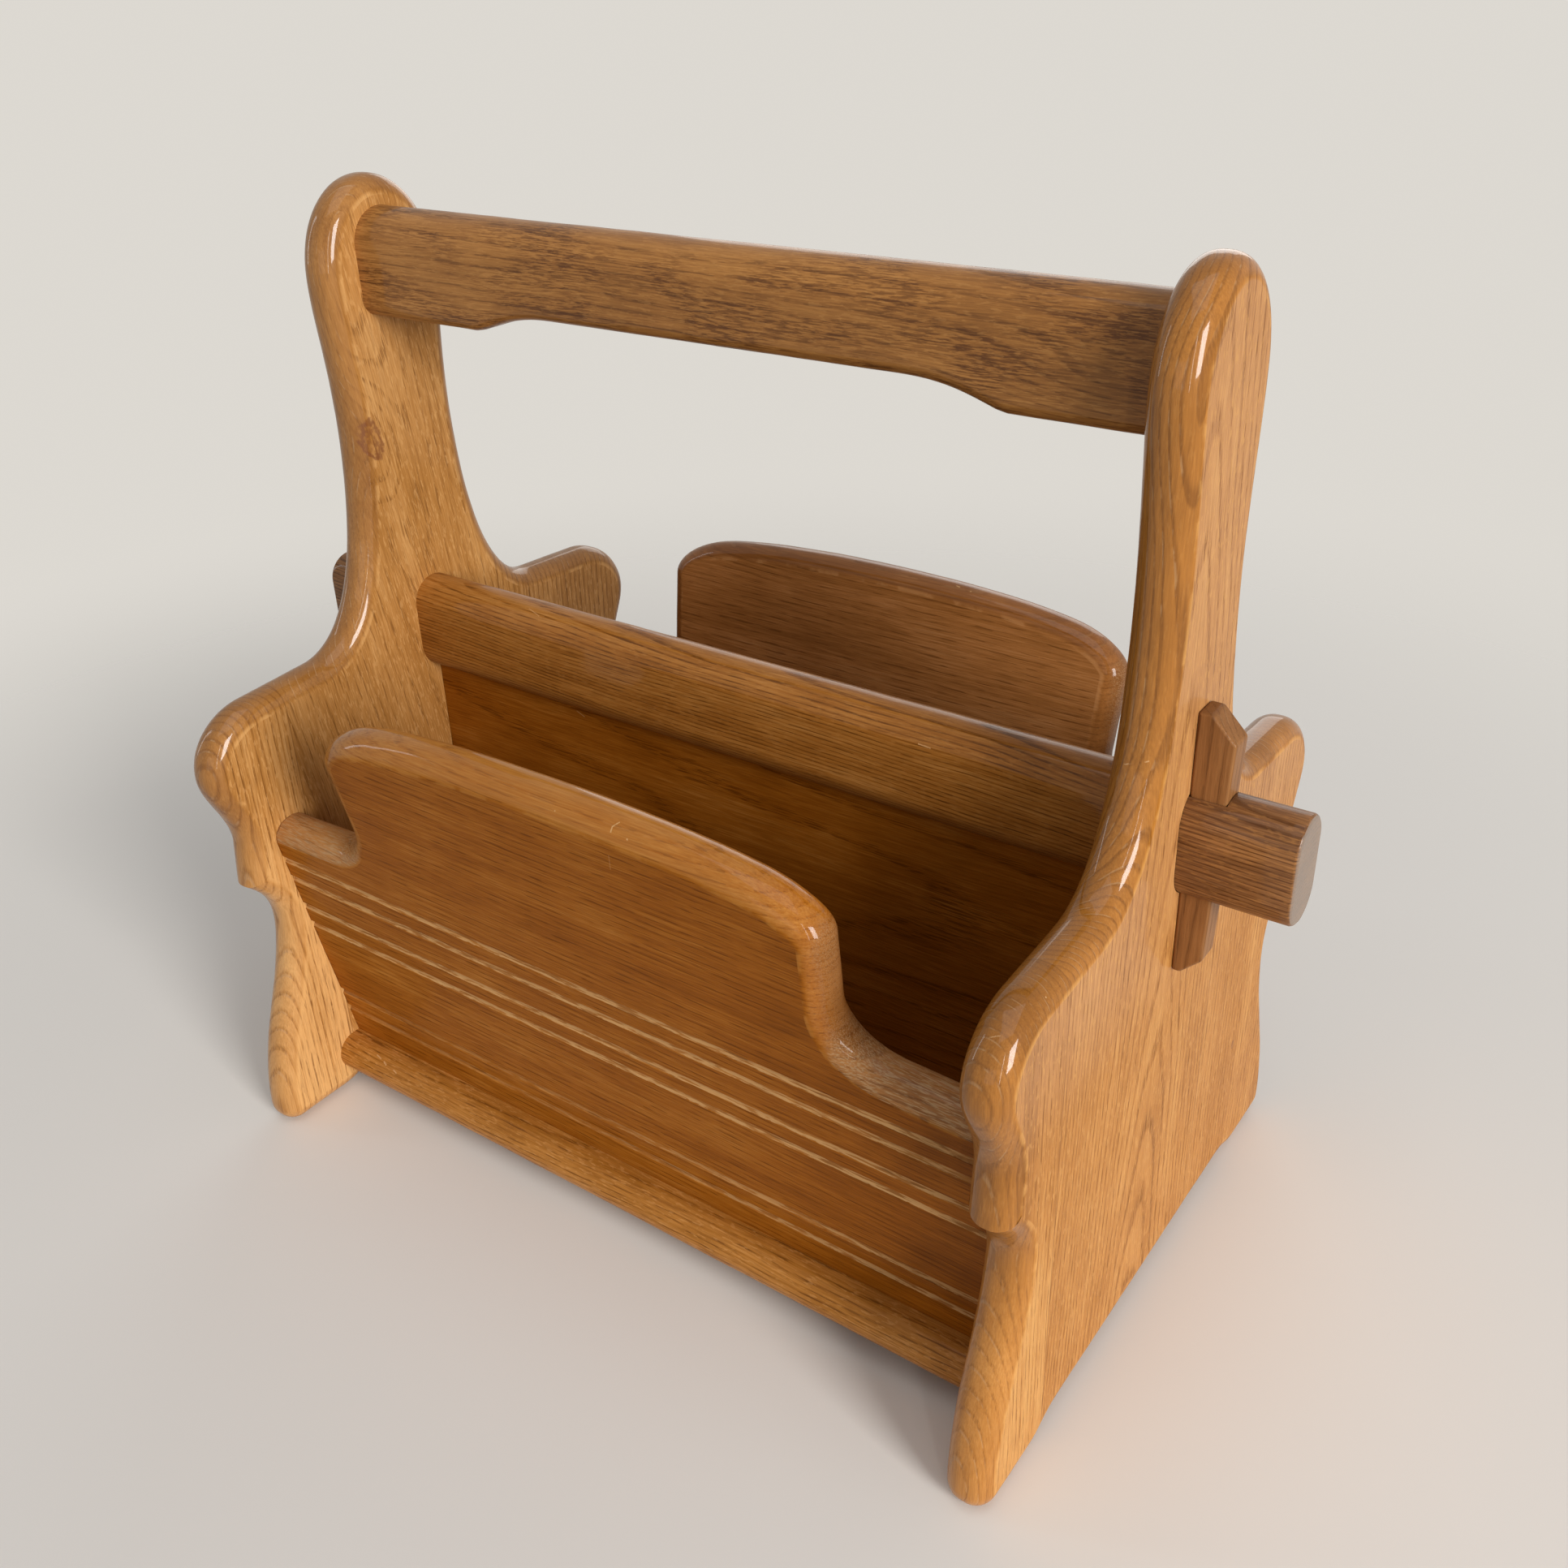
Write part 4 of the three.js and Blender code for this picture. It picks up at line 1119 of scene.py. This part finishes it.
# Outside the panels the rail's tenons are painted darker and less orange in place of the light that falls
# there, and their end faces carry a painted grey reflection.
centre_rail(oak(
    "rail_oak", RAIL_TONES, LENGTHWISE, seed=8, ring=1.9, pith=(120, 4), taper=0.035, dashes=0.6,
    rings=0.26, streaks=0.75, coat=0.3, flakes=0.2, handled=(196, 0, 0.75, 0.06),
    end_tone=(0.27, 0.22, 0.18), fades=((196, 206, -0.05),), marks=(
        ((99.3, -12.4, 244.9), (104.7, -12.4, 244.6), 0.45, 0.8),
        ((-119.1, -5.3, 252.7), (-110.9, -7.5, 251.6), 0.4, 0.5),
    ),
))
wedge_key(-1, "left_key", oak("left_key_oak", KEY_TONES, UPRIGHT, seed=9, pith=(20, -240)))
wedge_key(1, "right_key", oak("right_key_oak", KEY_TONES, UPRIGHT, seed=10, pith=(20, 240)))
divider(oak(
    "divider_oak", BOARD_TONES, LENGTHWISE, seed=11, pith=(160, 200), tone=-0.02,
    marks=(((-97.2, -3, 203.4), (-92.7, -3, 201.6), 0.4, 0.5),), **QUIET,
))

foot_y, foot_z = floor_low.y + NOSE_REVEAL, floor_high.z
groove_face = abs(foot_y * math.cos(TROUGH_LEAN) + foot_z * math.sin(TROUGH_LEAN)) / MM
slope_start = (foot_z * math.cos(TROUGH_LEAN) - foot_y * math.sin(TROUGH_LEAN)) / MM
groove_heights = [
    slope_start + (pair + offset) / MM
    for pair in GROOVE_PAIR_HEIGHTS for offset in (-GROOVE_SPACING / 2, GROOVE_SPACING / 2)
]
# The front board is painted darker towards its right end, a painted shadow of the right panel.
trough_board("front_board", "front_trough", 0.0, False, oak(
    "front_board_oak", BOARD_TONES, LENGTHWISE, seed=12, pith=(-160, -160), lean=-TROUGH_LEAN,
    grooves=groove_heights, groove_face=groove_face, chewed_ends=0.5, fades=((60, 180, -0.26),), marks=(
        ((40.7, -131.9, 246), (40.5, -130.6, 247.4), 0.45, 0.9),
        ((40.5, -130.6, 247.4), (42.3, -128.6, 248.9), 0.4, 0.9),
        ((48.4, -131.9, 245.4), (48.5, -131.9, 245.3), 0.55, 0.8),
        ((13.4, -132, 246.5), (13.5, -132, 246.5), 0.5, 0.8),
        ((39, -132.5, 235.7), (37.9, -131.1, 228.5), 0.3, 0.25),
        ((-102, -107.1, 105.4), (-99, -107, 105.2), 0.8, 0.7),
        ((-91.5, -106.9, 105.8), (-89, -106.9, 105.6), 0.7, 0.7),
        ((-83.7, -112, 136.1), (-81, -111.6, 134), 0.35, 0.6),
    ), **QUIET,
))
trough_board("back_board", "back_trough", BACK_ARCH_EXTRA, True, oak(
    "back_board_oak", BACK_BOARD_TONES, LENGTHWISE, seed=13, pith=(-140, 190), lean=TROUGH_LEAN,
    grooves=groove_heights, groove_face=groove_face, marks=(
        ((40.3, 120.8, 253.6), (42, 120.5, 253.4), 0.5, 0.7),
        ((48.4, 119.7, 252.8), (48.6, 119.7, 252.8), 0.6, 0.7),
    ), **dict(QUIET, edge_tone=-0.3),
))
bottom_board(oak(
    "bottom_board_oak", BOTTOM_TONES, LENGTHWISE, seed=14, ring=2.8, pith=(140, -60),
    dashes=0.65, streaks=0.8, flakes=0.4, edge_coat=0.3, marks=(
        ((-166.3, -102.8, 30.7), (-163, -103.4, 30.3), 0.5, 0.5),
        ((-160, -104, 29.9), (-158, -104.6, 29.2), 0.6, 0.5),
        ((-152, -105.2, 29), (-149.8, -105.6, 28.4), 0.5, 0.5),
    ),
))

dowel_oak = oak("dowel_oak", PANEL_TONES, LENGTHWISE, seed=15)
for node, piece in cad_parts.items():
    if "_dowel_" in node:
        piece.data.materials.clear()
        piece.data.materials.append(dowel_oak)


# Stage, lights and camera

FLOOR_HALF_SIZE = 4.0
FLOOR_FADE_START = 0.35
FLOOR_FADE_END = 1.05
FLOOR_COLOUR = (0.80, 0.77, 0.73)
BACKDROP_COLOUR = (0.72, 0.69, 0.64)
FILL_COLOUR = (0.93, 0.95, 1.0)
FILL_STRENGTH = 0.18


def seen_directly(n):
    """1 for what the camera, a mirror or glass sees, 0 for the light that surfaces pass on."""
    rays = n.add("ShaderNodeLightPath")
    seen = n.math("MAXIMUM", rays.outputs["Is Camera Ray"], rays.outputs["Is Glossy Ray"])
    return n.math("MAXIMUM", seen, rays.outputs["Is Transmission Ray"])


def floor_material():
    """A pale floor that fades into the backdrop well away from the rack."""
    material, n = new_material("pale_floor")
    away = n.vector("LENGTH", n.add("ShaderNodeTexCoord").outputs["Object"])
    fade = n.window(away, FLOOR_FADE_START, FLOOR_FADE_END)
    matt = n.add("ShaderNodeBsdfPrincipled", {"Base Color": FLOOR_COLOUR, "Roughness": 0.8})
    clear = n.add("ShaderNodeBsdfTransparent")
    mixed = n.add("ShaderNodeMixShader", {0: fade, 1: matt.outputs[0], 2: clear.outputs[0]})
    n.add("ShaderNodeOutputMaterial", {"Surface": mixed.outputs[0]})
    return material


floor_mesh = bpy.data.meshes.new("floor")
corners = [(x * FLOOR_HALF_SIZE, y * FLOOR_HALF_SIZE, 0) for x, y in ((-1, -1), (1, -1), (1, 1), (-1, 1))]
floor_mesh.from_pydata(corners, [], [(0, 1, 2, 3)])
floor = bpy.data.objects.new("floor", floor_mesh)
floor_mesh.materials.append(floor_material())
bpy.context.scene.collection.objects.link(floor)


def area_lamp(name, place, width, height, power, colour):
    data = bpy.data.lights.new(name, "AREA")
    data.shape = "RECTANGLE"
    data.size, data.size_y = width, height
    data.energy = power
    data.color = colour
    lamp = bpy.data.objects.new(name, data)
    lamp.location = place
    target = Vector((0, 0, PANEL_HEIGHT / 2))
    lamp.rotation_euler = (target - Vector(place)).to_track_quat("-Z", "Y").to_euler()
    bpy.context.scene.collection.objects.link(lamp)


area_lamp("window", (3.90, -1.40, 1.55), 1.3, 2.2, 190, (1.0, 0.985, 0.96))
area_lamp("window_glint", (2.60, -2.70, 1.30), 0.12, 2.4, 12, (1.0, 0.99, 0.97))
area_lamp("left_window", (-3.20, -1.40, 1.30), 0.25, 2.0, 7, (0.94, 0.97, 1.0))
area_lamp("room", (0.40, -3.40, 0.90), 2.4, 1.2, 6, (1.0, 0.98, 0.95))
area_lamp("ceiling", (0.30, -0.60, 3.40), 2.6, 2.6, 26, (1.0, 0.99, 0.97))
area_lamp("wall", (-1.20, 3.20, 1.30), 2.4, 1.6, 22, (1.0, 0.985, 0.96))

world = bpy.data.worlds.new("studio")
bpy.context.scene.world = world
world.use_nodes = True
sky = Nodes(world.node_tree)
glows = [
    sky.add("ShaderNodeBackground", {"Color": colour, "Strength": strength}).outputs[0]
    for colour, strength in ((FILL_COLOUR, FILL_STRENGTH), (BACKDROP_COLOUR, 1.0))
]
mixed_sky = sky.add("ShaderNodeMixShader", {0: seen_directly(sky), 1: glows[0], 2: glows[1]})
sky.add("ShaderNodeOutputWorld", {"Surface": mixed_sky.outputs[0]})

CAMERA_PLACE = (0.3826, -0.4885, 0.5391)
CAMERA_TURN = (61.216, 1.640, 35.039)
CAMERA_LENS = 35.912
CAMERA_SHIFT = (-0.00637, -0.01064)

camera_data = bpy.data.cameras.new("camera")
camera_data.sensor_width = 36
camera_data.lens = CAMERA_LENS
camera_data.shift_x, camera_data.shift_y = CAMERA_SHIFT
camera = bpy.data.objects.new("camera", camera_data)
camera.location = CAMERA_PLACE
camera.rotation_euler = [math.radians(a) for a in CAMERA_TURN]
bpy.context.scene.collection.objects.link(camera)
bpy.context.scene.camera = camera
bpy.context.scene.view_settings.view_transform = "Standard"
